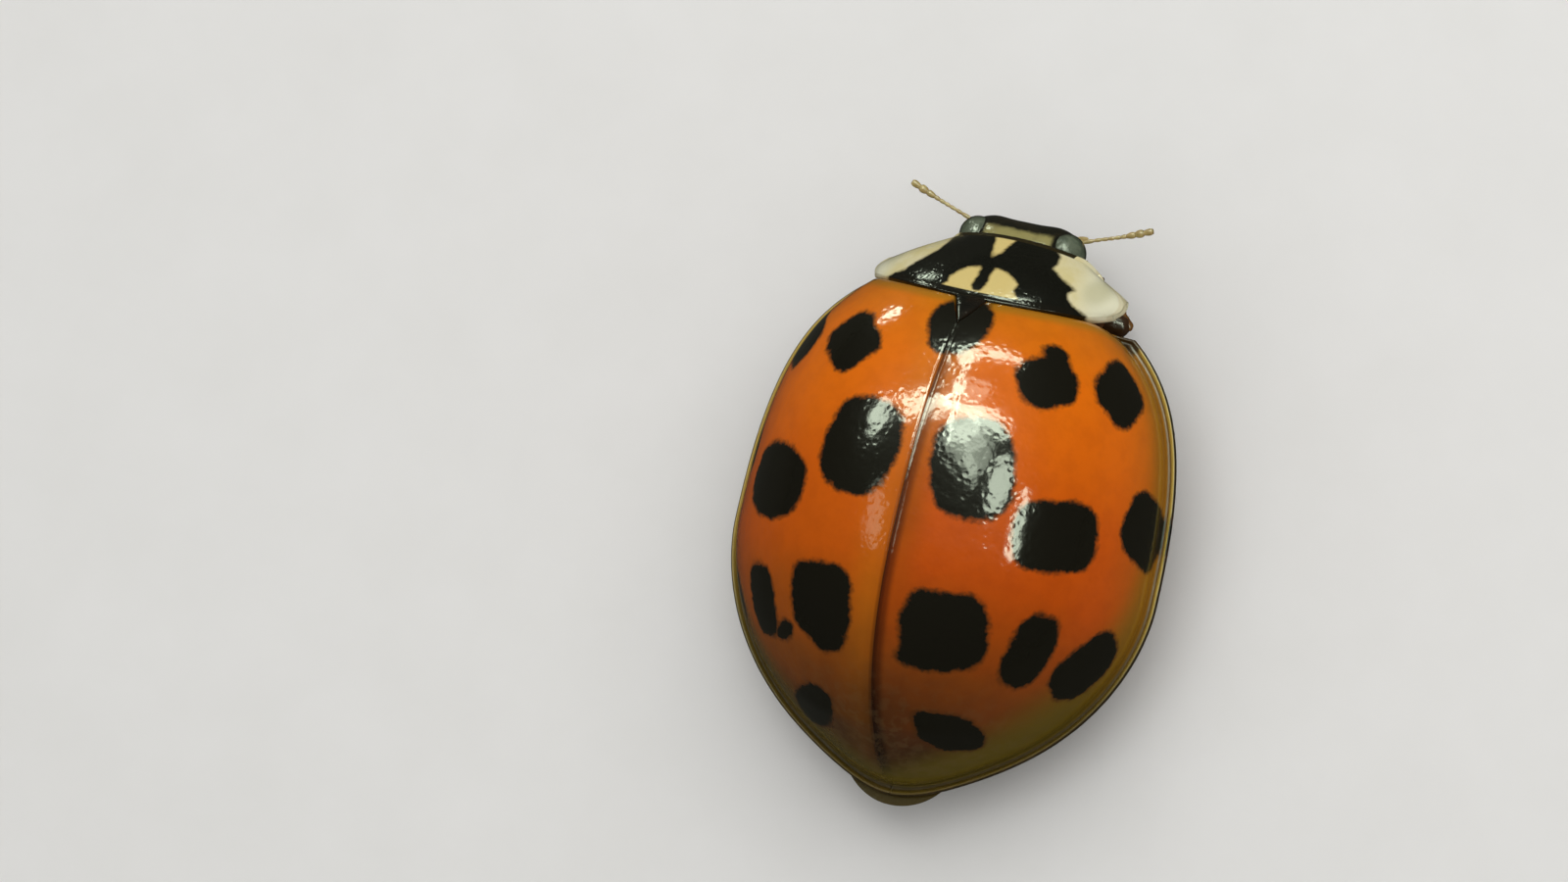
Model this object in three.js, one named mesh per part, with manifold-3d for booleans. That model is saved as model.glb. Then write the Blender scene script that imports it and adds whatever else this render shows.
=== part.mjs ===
// A harlequin ladybird (Harmonia axyridis) at rest on its six feet, life size.
// Millimetres. The head points to -Y, the back to +Z, the feet stand on z = 0 and +X is the animal's left.
// Each plate of the beetle is its own mesh: the wing cases, the shield behind the head, the head with
// its eyes, feelers and palps, the belly plates and the four parts of each leg.
import * as THREE from "three";
import { mergeVertices } from "three/addons/utils/BufferGeometryUtils.js";
import Module from "manifold-3d";

const wasm = await Module();
wasm.setup();

// ---------- Driving dimensions ----------
// Places along the body count from its widest point: the head lies at negative y, the tail at positive y.

const SEAM = 0.03; // clear space between two plates that touch in life

// The vault of the two wing cases: a superellipse in plan, closed by a superelliptic arch.
const VAULT = {
  halfWidth: 2.53,
  rear: 2.53, // from the widest place back to the foot of the vault
  front: 3.6, // where the same curve would close under the shield
  base: -2.93, // where the wing cases begin
  rise: 2.445, // top of the back above the edge
  planRear: 1.86, // exponents of the plan, behind and ahead of the widest place
  planFront: 2.6,
  archRun: 2.27, // exponents of the arch
  archRise: 1.72,
  tipReach: 0.067, // the tip stands out by this share of the rear length
  tipWidth: 0.87,
};
// Front corner of a wing case: the base leads and comes back near the corner, which is drawn in.
const SHOULDER = { lead: 0.13, round: 0.13, roundFrom: 0.8, run: 4, taper: 0.1, taperRun: 8 };
const EDGE = { height: 1.05, pitch: -0.063, bow: 0.0093 }; // height of the edge above the floor
const MARGIN = { width: 0.12, lip: 0.05, drop: 0.07, ledge: 0.13 }; // flattened margin round the vault
const SHELL = 0.5; // thickness of a wing case
const SCUTELLUM = { base: -2.93, tip: -2.6, half: 0.2, depth: 0.4 };

// The shield behind the head.
const SHIELD = {
  hindY: -2.96,
  frontY: -3.82,
  lean: -0.14, // the front is held a little to the right
  cornerSetback: 0.15, // the hind corners lie ahead of the middle of the hind edge
  hindHalf: 1.52,
  frontHalf: 0.95,
  sideBulge: 0.06,
  hindTop: 2.65,
  frontTop: 1.98,
  hindSideTop: 1.76,
  frontSideTop: 1.4,
  hindThickness: 0.5,
  frontThickness: 0.3,
};

const HEAD_SIDE = -0.05; // the head is held a little to the right of the middle line
const HEAD = { at: [0, -3.57, 1.25], radii: [0.74, 0.58, 0.46], pitch: 0.4, plan: 3 };
const EYE = { at: [0.56, -3.88, 1.25], radii: [0.23, 0.25, 0.29] };
const LABRUM = { at: [0, -3.98, 1.0], radii: [0.36, 0.2, 0.2] };
const FEELER = {
  path: [[0.5, -3.98, 1.02], [0.9, -4.14, 1.0], [1.29, -4.28, 1.02]],
  width: 0.5,
};
const PALP = {
  path: [[0.33, -3.86, 0.82], [0.44, -4.06, 0.66], [0.48, -4.14, 0.52]],
  width: 0.36,
};

const BELLY = { edgeDrop: 0.1, midDrop: 0.24 }; // underside of the trunk below the edge
const CHEST = { from: -2.86, to: -0.72 };
const BELLY_RINGS = [-0.72, 0.3, 0.98, 1.56, 2.02]; // where the belly rings meet
const TAIL = { from: 2.02, to: 2.94, half: 0.8, height: 0.24 };

// The bending points and the hip plate of each left leg, and how far each foot is moved from there.
const LEGS = {
  front: {
    coxa: { at: [0.42, -3.28, 0.84], radii: [0.3, 0.25, 0.2] },
    hip: [0.62, -3.26, 0.64],
    knee: [1.46, -3.24, 0.68],
    ankle: [0.98, -3.66, 0.36],
    toe: [0.66, -3.92, 0.22],
    footShift: { left: [0.04, -0.02], right: [-0.08, 0.03] },
  },
  middle: {
    coxa: { at: [0.8, -2.05, 0.8], radii: [0.36, 0.3, 0.22] },
    hip: [1.02, -2.06, 0.62],
    knee: [1.94, -2.26, 0.68],
    ankle: [2.0, -1.5, 0.36],
    toe: [2.02, -0.98, 0.22],
    footShift: { left: [0.03, -0.05], right: [0, 0.06] },
  },
  hind: {
    coxa: { at: [0.74, -0.62, 0.78], radii: [0.52, 0.27, 0.21] },
    hip: [1.04, -0.52, 0.58],
    knee: [2.0, 0.1, 0.57],
    ankle: [1.74, 0.9, 0.35],
    toe: [1.48, 1.34, 0.22],
    footShift: { left: [0.02, 0.06], right: [0, -0.05] },
  },
};
const LEG_WIDTHS = { femur: [0.5, 0.6, 0.54], tibia: [0.48, 0.5], tarsus: [0.46, 0.5] };

// ---------- Small tools ----------

const vec = (x, y, z) => new THREE.Vector3(x, y, z);
const lerp = THREE.MathUtils.lerp;
const SIDES = { left: 1, right: -1 };

// A closed geometry from loops of points: a skin from loop to loop and a cap on each end.
function loft(loops) {
  const count = loops[0].length;
  const index = [];
  for (let row = 0; row + 1 < loops.length; row++)
    for (let i = 0; i < count; i++) {
      const a = row * count + i;
      const b = row * count + ((i + 1) % count);
      index.push(a, b, b + count, a, b + count, a + count);
    }
  const lastRow = (loops.length - 1) * count;
  for (const [a, b, c] of capTriangles(loops[0])) index.push(a, c, b);
  for (const [a, b, c] of capTriangles(loops.at(-1))) index.push(lastRow + a, lastRow + b, lastRow + c);
  if (volume(loops.flat(), index) < 0) index.reverse();
  const geometry = new THREE.BufferGeometry().setFromPoints(loops.flat());
  geometry.setIndex(index);
  return geometry;
}

// Triangles that fill one loop, found in the loop's own plane and wound like the loop.
function capTriangles(loop) {
  const normal = vec(0, 0, 0);
  loop.forEach((p, i) => normal.add(p.clone().cross(loop[(i + 1) % loop.length])));
  normal.normalize();
  const helper = Math.abs(normal.x) < 0.7 ? vec(1, 0, 0) : vec(0, 1, 0);
  const across = helper.cross(normal).normalize();
  const along = normal.clone().cross(across);
  const flat = loop.map((p) => new THREE.Vector2(p.dot(across), p.dot(along)));
  return THREE.ShapeUtils.triangulateShape(flat, []);
}

function volume(points, index) {
  let sum = 0;
  for (let i = 0; i < index.length; i += 3)
    sum += points[index[i]].dot(points[index[i + 1]].clone().cross(points[index[i + 2]]));
  return sum / 6;
}

function solidOf(geometry) {
  const plain = geometry.clone();
  plain.deleteAttribute("normal");
  plain.deleteAttribute("uv");
  const merged = mergeVertices(plain, 1e-4);
  const vertProperties = merged.attributes.position.array;
  const triVerts = new Uint32Array(merged.index.array);
  return new wasm.Manifold(new wasm.Mesh({ numProp: 3, vertProperties, triVerts }));
}

// The geometry with every tool cut out of it. Only the largest piece is kept.
function carve(geometry, ...tools) {
  const cut = tools.reduce((solid, tool) => solid.subtract(solidOf(tool)), solidOf(geometry));
  const pieces = cut.decompose().sort((a, b) => b.volume() - a.volume());
  const mesh = pieces[0].getMesh();
  const carved = new THREE.BufferGeometry();
  carved.setAttribute("position", new THREE.BufferAttribute(mesh.vertProperties, 3));
  carved.setIndex(new THREE.BufferAttribute(mesh.triVerts, 1));
  return carved;
}

// An ellipsoid, grown on all sides by swell and turned about the X axis by pitch. Seen from above it is
// an oval of the exponent plan: 2 is an ellipse, and more is squarer.
function ellipsoid({ at, radii, pitch = 0, plan = 2 }, side, swell, rings) {
  const geometry = new THREE.SphereGeometry(1, rings * 2, rings).rotateX(Math.PI / 2);
  const corners = geometry.attributes.position;
  for (let i = 0; i < corners.count; i++) {
    const [x, y] = [corners.getX(i), corners.getY(i)];
    const reach = (Math.abs(x) ** plan + Math.abs(y) ** plan) ** (1 / plan);
    const push = reach > 1e-6 ? Math.hypot(x, y) / reach : 1;
    corners.setXY(i, x * push, y * push);
  }
  geometry.scale(...radii.map((radius) => radius + swell));
  geometry.rotateX(pitch);
  geometry.translate(side * at[0], at[1], at[2]);
  return geometry;
}

// A limb of eight sides along a smooth path. Its widths are measured across the flats, from one end to
// the other. Each end is domed, or the first one cut square, and nothing reaches below the floor.
function limb(points, widths, swell, { steps = 3, square = false } = {}) {
  const sides = 8;
  const path = new THREE.CatmullRomCurve3(points);
  const domeAngles = [0.35, 0.95];
  const stations = [];
  if (!square)
    for (const angle of domeAngles) stations.push([0, -Math.cos(angle), Math.sin(angle)]);
  for (let i = 0; i <= steps; i++) stations.push([i / steps, 0, 1]);
  for (const angle of domeAngles.toReversed()) stations.push([1, Math.cos(angle), Math.sin(angle)]);
  const loops = stations.map(([t, overhang, share]) => {
    const place = t * (widths.length - 1);
    const before = Math.min(Math.floor(place), widths.length - 2);
    const width = lerp(widths[before], widths[before + 1], place - before);
    const radius = width / 2 / Math.cos(Math.PI / sides) + swell;
    const ahead = path.getTangentAt(t).normalize();
    const centre = path.getPointAt(t).addScaledVector(ahead, overhang * radius);
    const across = vec(0, 0, 1).cross(ahead).normalize();
    const above = ahead.clone().cross(across);
    return Array.from({ length: sides }, (_, i) => {
      const turn = ((i + 0.5) / sides) * 2 * Math.PI;
      const point = centre.clone();
      point.addScaledVector(across, Math.cos(turn) * radius * share);
      point.addScaledVector(above, Math.sin(turn) * radius * share);
      point.z = Math.max(point.z, 0);
      return point;
    });
  });
  return loft(loops);
}

// ---------- The vault of the wing cases ----------

const edgeZ = (y) => EDGE.height + EDGE.pitch * y + EDGE.bow * y * y;
const planExponent = (t) => (t < 0 ? VAULT.planFront : VAULT.planRear);

// How near a place is to the base of the wing cases: 0 at the widest place and behind it, 1 at the base.
const nearBase = (t) => Math.max((t * VAULT.front) / VAULT.base, 0);
const drawnIn = (t) => 1 - SHOULDER.taper * Math.pow(nearBase(t), SHOULDER.taperRun);

// Half the width of the plan, grown by a margin, at a share t of its length: t is negative ahead.
function planHalf(t, grow) {
  const exponent = planExponent(t);
  const left = Math.max(1 - Math.pow(Math.abs(t), exponent), 0);
  return (VAULT.halfWidth + grow) * Math.pow(left, 1 / exponent) * drawnIn(t);
}

// How far back that place lies. The tail is drawn out to a blunt point, and the shoulders lead.
function planY(t, x, grow) {
  if (t >= 0) {
    const drawnOut = 1 + VAULT.tipReach * Math.exp(-((x / VAULT.tipWidth) ** 2));
    return t * (VAULT.rear + grow) * drawnOut;
  }
  const share = x / planHalf(t, grow);
  const corner = Math.max(share - SHOULDER.roundFrom, 0) / (1 - SHOULDER.roundFrom);
  const shift = SHOULDER.round * corner ** 2 - SHOULDER.lead * share ** 2;
  return t * VAULT.front + shift * Math.pow(nearBase(t), SHOULDER.run);
}

// A point of the flat margin, so far out from the foot of the vault.
function marginPoint(t, width) {
  if (t >= 0) {
    const x = planHalf(t, width);
    return { x, y: planY(t, x, width) };
  }
  const foot = (place) => ({ x: planHalf(place, 0), y: planY(place, planHalf(place, 0), 0) });
  const step = 1e-3;
  const [before, here, after] = [foot(t - step), foot(t), foot(t + step)];
  const run = { x: after.x - before.x, y: after.y - before.y };
  const length = Math.hypot(run.x, run.y);
  return { x: here.x + (width * run.y) / length, y: here.y - (width * run.x) / length };
}

// A point of the vault or, inset, of the even inner face that lies so far under it. across runs from
// startX beside the mid line (0) to the foot of the vault (1).
function vaultPoint(t, across, inset, startX = 0) {
  const sideInset = inset * 0.9;
  const half = planHalf(t, -sideInset);
  const x = lerp(startX, half, Math.sin((Math.PI / 2) * across));
  const y = planY(t, x, -sideInset);
  const exponent = planExponent(t);
  const widthShare = x / ((VAULT.halfWidth - sideInset) * drawnIn(t));
  const reach = Math.pow(Math.pow(widthShare, exponent) + Math.pow(Math.abs(t), exponent), 1 / exponent);
  const left = Math.max(1 - Math.pow(Math.min(reach, 1), VAULT.archRun), 0);
  const steepness = t < 0 ? 1 + 2 * t * t : 1; // a sloping wall needs more height for one thickness
  const rise = VAULT.rise - inset * steepness;
  return vec(x, y, edgeZ(y) + rise * Math.pow(left, 1 / VAULT.archRise));
}

// ---------- Wing cases and the little triangle between them ----------

const scutellumHalf = (y) => (SCUTELLUM.half * (SCUTELLUM.tip - y)) / (SCUTELLUM.tip - SCUTELLUM.base);

function elytron(side) {
  const outerColumns = 9;
  const innerColumns = 7;
  const lastShare = 0.9992; // a hair short of the point, so that the last ring keeps an area
  const shares = [VAULT.base / VAULT.front, SCUTELLUM.tip / VAULT.front];
  for (let i = 0; i < 4; i++) shares.push(lerp(-0.6, 0, i / 4));
  for (let i = 0; i <= 12; i++) shares.push(Math.min(Math.sin((Math.PI / 2) * (i / 12)), lastShare));
  const loops = shares.map((t) => {
    const startX = Math.max(SEAM / 2, scutellumHalf(t * VAULT.front) + SEAM);
    const ring = [];
    for (let i = 0; i <= outerColumns; i++) ring.push(vaultPoint(t, i / outerColumns, 0, startX));
    const edge = marginPoint(t, MARGIN.width);
    ring.push(vec(edge.x, edge.y, edgeZ(edge.y) + MARGIN.lip));
    ring.push(vec(edge.x, edge.y, edgeZ(edge.y) - MARGIN.drop));
    const foot = vaultPoint(t, 1, SHELL);
    const ledgeY = lerp(edge.y, foot.y, 0.5);
    ring.push(vec(lerp(edge.x, foot.x, 0.5), ledgeY, edgeZ(ledgeY) - MARGIN.ledge));
    ring.push(vec(foot.x, foot.y, edgeZ(foot.y) - MARGIN.ledge));
    for (let i = innerColumns; i >= 0; i--) ring.push(vaultPoint(t, i / innerColumns, SHELL, startX));
    return ring.map((p) => vec(side * p.x, p.y, p.z));
  });
  return loft(loops);
}

function scutellum() {
  const bluntTip = 0.03; // half the width left at the tip
  const loops = [SCUTELLUM.base, SCUTELLUM.tip].map((y) => {
    const half = Math.max(scutellumHalf(y), bluntTip);
    const top = vaultPoint(y / VAULT.front, 0, 0).z;
    const floor = top - SCUTELLUM.depth;
    return [vec(-half, y, top), vec(half, y, top), vec(half, y, floor), vec(-half, y, floor)];
  });
  return loft(loops);
}

// ---------- Shield behind the head ----------

// ahead runs from the hind edge (0) to the front edge (1), across from -1 to 1, depth from top to underside.
function shieldPoint(ahead, across, depth) {
  const bulge = SHIELD.sideBulge * Math.sin(Math.PI * Math.pow(ahead, 0.7));
  const half = lerp(SHIELD.hindHalf, SHIELD.frontHalf, Math.pow(ahead, 1.1)) + bulge;
  const hind = SHIELD.hindY - SHIELD.cornerSetback * across * across;
  const front = SHIELD.frontY + 0.07 * across * across;
  const arch = Math.pow(Math.max(1 - Math.pow(Math.abs(across), 2.3), 0), 0.8);
  const middle = lerp(SHIELD.hindTop, SHIELD.frontTop, Math.pow(ahead, 1.25));
  const edge = lerp(SHIELD.hindSideTop, SHIELD.frontSideTop, ahead);
  const thickness = lerp(SHIELD.hindThickness, SHIELD.frontThickness, ahead) * lerp(0.35, 1, arch);
  const x = half * across + SHIELD.lean * ahead;
  return vec(x, lerp(hind, front, ahead), lerp(edge, middle, arch) - depth * thickness);
}

// A row of shield points from side to side.
function shieldRow(ahead, columns, halfSpan, depth) {
  return Array.from({ length: columns + 1 }, (_, c) =>
    shieldPoint(ahead, halfSpan * ((2 * c) / columns - 1), depth),
  );
}

function shield() {
  const rows = 6;
  const columns = 16;
  const loops = [];
  for (let r = 0; r <= rows; r++) {
    const top = shieldRow(r / rows, columns, 1, 0);
    const underside = shieldRow(r / rows, columns, 1, 1);
    loops.push([...top, ...underside.reverse()]);
  }
  return loft(loops);
}

// The ring under the shield, which carries the head and the front legs.
function prothorax() {
  const rows = 3;
  const columns = 8;
  const halfSpan = 0.8;
  const bottomMiddle = 0.86;
  const bottomSide = 1.06;
  const loops = [];
  for (let r = 0; r <= rows; r++) {
    const underShield = shieldRow(lerp(0.04, 0.86, r / rows), columns, halfSpan, 1);
    const top = underShield.map((p) => vec(p.x, p.y, p.z - SEAM));
    const bottom = underShield.map((p, c) => {
      const outward = (2 * c) / columns - 1;
      return vec(p.x, p.y, lerp(bottomMiddle, bottomSide, outward * outward));
    });
    loops.push([...top, ...bottom.reverse()]);
  }
  return loft(loops);
}

// ---------- Trunk under the wing cases ----------

// One ring of the trunk between two places along the body.
function trunkRing(from, to, rows) {
  const columns = 10;
  const inset = SHELL + SEAM;
  const rearLength = VAULT.rear - inset * 0.9;
  const loops = [];
  for (let r = 0; r <= rows; r++) {
    const y = lerp(from + SEAM / 2, to - SEAM / 2, r / rows);
    const t = y / (y < 0 ? VAULT.front : rearLength);
    const half = planHalf(t, -inset * 0.9);
    const ring = [];
    for (let c = 0; c <= columns; c++) {
      const across = (2 * c) / columns - 1;
      const { x, z } = vaultPoint(t, Math.abs(across), inset);
      ring.push(vec(Math.sign(across) * x, y, z));
    }
    for (let c = columns; c >= 0; c--) {
      const outward = Math.sin((Math.PI / 2) * ((2 * c) / columns - 1));
      const drop = lerp(BELLY.midDrop, BELLY.edgeDrop, outward * outward);
      ring.push(vec(half * outward, y, edgeZ(y) - drop));
    }
    loops.push(ring);
  }
  return loft(loops);
}

// The last belly ring is a flat lip that shows past the tip of the wing cases.
function tailRing() {
  const rows = 6;
  const loops = [];
  for (let r = 0; r <= rows; r++) {
    const share = Math.sin((Math.PI / 2) * (r / rows)) * 0.985;
    const y = lerp(TAIL.from + SEAM / 2, TAIL.to, share);
    const half = TAIL.half * Math.sqrt(1 - share * share);
    const top = edgeZ(y) - MARGIN.ledge - SEAM;
    const loop = [vec(-half, y, top), vec(half, y, top)];
    for (const [outward, down] of [[0.8, 0.6], [0.4, 0.9], [0, 1], [-0.4, 0.9], [-0.8, 0.6]])
      loop.push(vec(half * outward, y, top - TAIL.height * down));
    loops.push(loop);
  }
  return loft(loops);
}

// ---------- Legs ----------

// The four parts of one leg, and the shapes that make room for it in the trunk.
function makeLeg(pair, sideName) {
  const plan = LEGS[pair];
  const side = SIDES[sideName];
  const [shiftX, shiftY] = plan.footShift[sideName];
  const place = ([x, y, z], share) => vec(side * (x + shiftX * share), y + shiftY * share, z);
  const hip = place(plan.hip, 0);
  const knee = place(plan.knee, 0.4);
  const ankle = place(plan.ankle, 1);
  const toe = place(plan.toe, 1);
  const within = (a, b, share) => a.clone().lerp(b, share);
  const femur = (swell) => limb([hip, within(hip, knee, 0.5), knee], LEG_WIDTHS.femur, swell, { steps: 2 });
  const tibia = (swell) =>
    limb([within(knee, ankle, 0.06), within(knee, ankle, 0.5), ankle], LEG_WIDTHS.tibia, swell, {
      steps: 2,
      square: true,
    });
  const toePad = within(ankle, toe, 0.6).setZ(toe.z);
  const tarsus = limb([within(ankle, toe, 0.12), toePad, toe], LEG_WIDTHS.tarsus, 0, { square: true });
  const coxa = (swell) => ellipsoid(plan.coxa, side, swell, 5);
  return {
    pieces: {
      coxa: carve(coxa(0), femur(SEAM)),
      femur: femur(0),
      tibia: carve(tibia(0), femur(SEAM)),
      tarsus: carve(tarsus, tibia(SEAM)),
    },
    room: [coxa(SEAM), femur(SEAM)],
  };
}

// ---------- Assembly ----------

const COLOURS = {
  wingCase: 0xd9560c,
  horn: 0x17120d,
  shield: 0xe4dbab,
  eye: 0x20241f,
  belly: 0x5d3413,
  leg: 0x8a5a24,
  feeler: 0xa9803f,
};

const ladybird = new THREE.Group();

function add(name, geometry, color, roughness) {
  const material = new THREE.MeshStandardMaterial({ color, roughness, metalness: 0 });
  const mesh = new THREE.Mesh(geometry, material);
  mesh.name = name;
  ladybird.add(mesh);
}

// Both the left and the right copy of a shape that is made for one side.
const bothSides = (make) => Object.values(SIDES).map(make);

const legs = {};
for (const pair of Object.keys(LEGS))
  for (const sideName of Object.keys(SIDES)) legs[`${pair}_${sideName}`] = makeLeg(pair, sideName);
const roomForLegs = (pair) => [...legs[`${pair}_left`].room, ...legs[`${pair}_right`].room];

const head = (swell) => ellipsoid(HEAD, 1, swell, 10).translate(HEAD_SIDE, 0, 0);
const labrum = (swell) => ellipsoid(LABRUM, 1, swell, 6).translate(HEAD_SIDE, 0, 0);
const eye = (side, swell) => ellipsoid(EYE, side, swell, 7).translate(HEAD_SIDE, 0, 0);
const onSide = (path, side) => path.map(([x, y, z]) => vec(side * x, y, z));
const feeler = (side, swell) => limb(onSide(FEELER.path, side), [FEELER.width, FEELER.width], swell);
const palp = (side, swell) => limb(onSide(PALP.path, side), [PALP.width, PALP.width], swell, { steps: 2 });

add("pronotum", shield(), COLOURS.shield, 0.25);
add("scutellum", scutellum(), COLOURS.horn, 0.25);

const headRoom = [head(SEAM), ...bothSides((side) => eye(side, SEAM))];
add("prothorax", carve(prothorax(), ...headRoom, ...roomForLegs("front")), COLOURS.belly, 0.45);

const mouthRoom = bothSides((side) => [feeler(side, SEAM), palp(side, SEAM)]).flat();
const eyeRoom = bothSides((side) => eye(side, SEAM));
add("head", carve(head(0), ...eyeRoom, ...mouthRoom, labrum(SEAM)), COLOURS.horn, 0.3);
add("labrum", carve(labrum(0), ...mouthRoom), COLOURS.horn, 0.35);

for (const [sideName, side] of Object.entries(SIDES)) {
  add(`elytron_${sideName}`, elytron(side), COLOURS.wingCase, 0.2);
  add(`eye_${sideName}`, eye(side, 0), COLOURS.eye, 0.15);
  add(`antenna_${sideName}`, carve(feeler(side, 0), eye(side, SEAM)), COLOURS.feeler, 0.5);
  add(`palp_${sideName}`, palp(side, 0), COLOURS.feeler, 0.5);
}

const chest = trunkRing(CHEST.from, CHEST.to, 5);
add("thorax", carve(chest, ...roomForLegs("middle"), ...roomForLegs("hind")), COLOURS.horn, 0.4);
for (let i = 0; i + 1 < BELLY_RINGS.length; i++) {
  const ring = trunkRing(BELLY_RINGS[i], BELLY_RINGS[i + 1], 3);
  add(`abdomen_${i + 1}`, carve(ring, ...roomForLegs("hind")), COLOURS.belly, 0.45);
}
add(`abdomen_${BELLY_RINGS.length}`, tailRing(), COLOURS.belly, 0.45);

for (const [legName, { pieces }] of Object.entries(legs))
  for (const [pieceName, geometry] of Object.entries(pieces))
    add(`${pieceName}_${legName}`, geometry, COLOURS.leg, 0.4);

// The origin lies on the floor under the middle of the body.
const middle = new THREE.Box3().setFromObject(ladybird).getCenter(vec(0, 0, 0));
ladybird.position.set(-middle.x, -middle.y, 0);
const part = new THREE.Group();
part.add(ladybird);

export default part;
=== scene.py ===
# %% [markdown]
# # A life-size model of a ladybird
# The harlequin ladybird is a beetle about seven millimetres long. What shows of it from above is
# armour: two wing cases that meet in a straight seam, a neck shield ahead of them, and a small head
# with large eyes. The model is built the same way, each plate as a sheet of fine mesh that is bent by
# a formula, and each limb as a tube along a path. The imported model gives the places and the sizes.

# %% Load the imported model
import math

import bpy
import numpy as np
from mathutils import Matrix, Vector


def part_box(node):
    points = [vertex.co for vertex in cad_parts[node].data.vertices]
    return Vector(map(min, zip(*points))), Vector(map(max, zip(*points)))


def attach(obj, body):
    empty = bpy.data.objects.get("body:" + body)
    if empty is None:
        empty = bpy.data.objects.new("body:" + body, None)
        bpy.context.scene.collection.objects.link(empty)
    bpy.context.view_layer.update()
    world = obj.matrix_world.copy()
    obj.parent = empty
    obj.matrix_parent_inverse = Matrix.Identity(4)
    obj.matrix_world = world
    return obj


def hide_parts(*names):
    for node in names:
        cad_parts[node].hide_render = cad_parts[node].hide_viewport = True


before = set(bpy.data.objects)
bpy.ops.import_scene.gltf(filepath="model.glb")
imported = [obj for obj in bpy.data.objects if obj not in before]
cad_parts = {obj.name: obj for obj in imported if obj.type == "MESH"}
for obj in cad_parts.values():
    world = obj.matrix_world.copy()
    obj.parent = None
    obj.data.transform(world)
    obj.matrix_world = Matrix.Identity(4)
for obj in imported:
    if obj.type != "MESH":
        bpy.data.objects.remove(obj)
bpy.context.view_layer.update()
MM = 0.001  # one millimetre in metres: all shapes below are worked out in millimetres

# %% [markdown]
# ## The body's own measure
# Every shape is given in body coordinates: x to the animal's left, y from the widest place of the
# wing cases towards the tail, and z up from the floor. One number carries them into the shared frame.

# %% Body coordinates
SCUTELLUM_BASE = -2.93  # y of the front of the little triangle between the wing cases
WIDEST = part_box("scutellum")[0].y / MM - SCUTELLUM_BASE
MARGIN = 0.12  # width of the flat rim around the wing cases
HALF_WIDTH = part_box("elytron_left")[1].x / MM - MARGIN


def to_frame(points):
    """Carries body coordinates in millimetres into the shared frame in metres."""
    return (np.asarray(points, float) + [0.0, WIDEST, 0.0]) * MM


def body_middle(node):
    """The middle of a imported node's box, in body coordinates."""
    low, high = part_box(node)
    return np.array((low + high) / 2) / MM - [0.0, WIDEST, 0.0]


print("widest place at y", round(WIDEST, 3), "mm, half width", round(HALF_WIDTH, 3), "mm")

# %% [markdown]
# ## Colours and shader nodes
# Colours are written as they look, as sRGB hex values, and one function turns them into the linear
# numbers that the shaders work with. One more function adds a node with its settings and its links.
# Everything else is built on it: clouds for what is uneven, and pigment, which lays one colour over
# the last wherever a number on the mesh says so. A finish is then a short list of such layers.


# %% Colours and nodes
def linear(hex_colour):
    """Turns an sRGB hex value into linear red, green, blue and alpha."""
    channels = [int(hex_colour[i : i + 2], 16) / 255 for i in (1, 3, 5)]
    bent = [c / 12.92 if c <= 0.04045 else ((c + 0.055) / 1.055) ** 2.4 for c in channels]
    return (*bent, 1.0)


def add_node(owner, kind, inputs, **settings):
    """Adds a shader node to a material or a world.

    Each input is a value, the output socket that feeds it, a colour as #RRGGBB, or the name of a
    number that the mesh holds at each point.
    """
    tree = owner.node_tree
    node = tree.nodes.new("ShaderNode" + kind)
    for name, value in settings.items():
        setattr(node, name, value)
    for key, value in inputs.items():
        if isinstance(value, str) and value.startswith("#"):
            value = linear(value)
        elif isinstance(value, str):
            value = add_node(owner, "Attribute", {}, attribute_name=value).outputs["Fac"]
        if isinstance(value, bpy.types.NodeSocket):
            tree.links.new(value, node.inputs[key])
        else:
            node.inputs[key].default_value = value
    return node


print("white is", linear("#FFFFFF"))


# %% Finishes
def new_material(name):
    """A material without any node yet."""
    material = bpy.data.materials.new(name)
    material.use_nodes = True
    material.node_tree.nodes.clear()
    return material


def set_surface(material, **inputs):
    """Gives a material its shader. Its sockets are written with _ for a space."""
    sockets = {name.replace("_", " "): value for name, value in inputs.items()}
    shader = add_node(material, "BsdfPrincipled", sockets)
    add_node(material, "OutputMaterial", {"Surface": shader.outputs[0]})
    print(material.name, "has", len(material.node_tree.nodes), "nodes")


def cloudy(material, size, detail=2.0, offset=0.0):
    """An uneven spread from 0 to 1 around 0.5, in clouds that are size millimetres across."""
    place = add_node(material, "TexCoord", {}).outputs["Object"]
    if offset:
        place = add_node(material, "VectorMath", {0: place, 1: (offset * MM,) * 3}).outputs[0]
    inputs = {"Vector": place, "Scale": 1 / (size * MM), "Detail": detail, "Roughness": 0.6}
    return add_node(material, "TexNoise", inputs).outputs[0]


def pigment(material, below, colour, mark, low, high, most=1.0, least=0.0, only=None, blend="MIX"):
    """Lays a colour over what is below it, where a mark goes from low to high.

    It covers a share from least to most, and only says where else it is held back.
    """
    inputs = {0: mark, 1: low, 2: high, 3: least, 4: most}
    share = add_node(material, "MapRange", inputs, interpolation_type="SMOOTHSTEP").outputs[0]
    if only is not None:
        share = add_node(material, "Math", {0: share, 1: only}, operation="MULTIPLY").outputs[0]
    inputs = {0: share, 6: below, 7: colour}
    return add_node(material, "Mix", inputs, data_type="RGBA", blend_type=blend).outputs[2]


print("clouds of 0.25 mm have a scale of", 1 / (0.25 * MM))

# %% [markdown]
# ## Sheets and tubes of mesh
# A plate can be carved, subdivided from a rough cage, or worked out point by point. The plates here
# are worked out, because their curves are known, and because a fine even grid lets each point carry
# how far it lies inside a dark mark. A tube is a row of rings along a path, for limbs and feelers.


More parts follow.
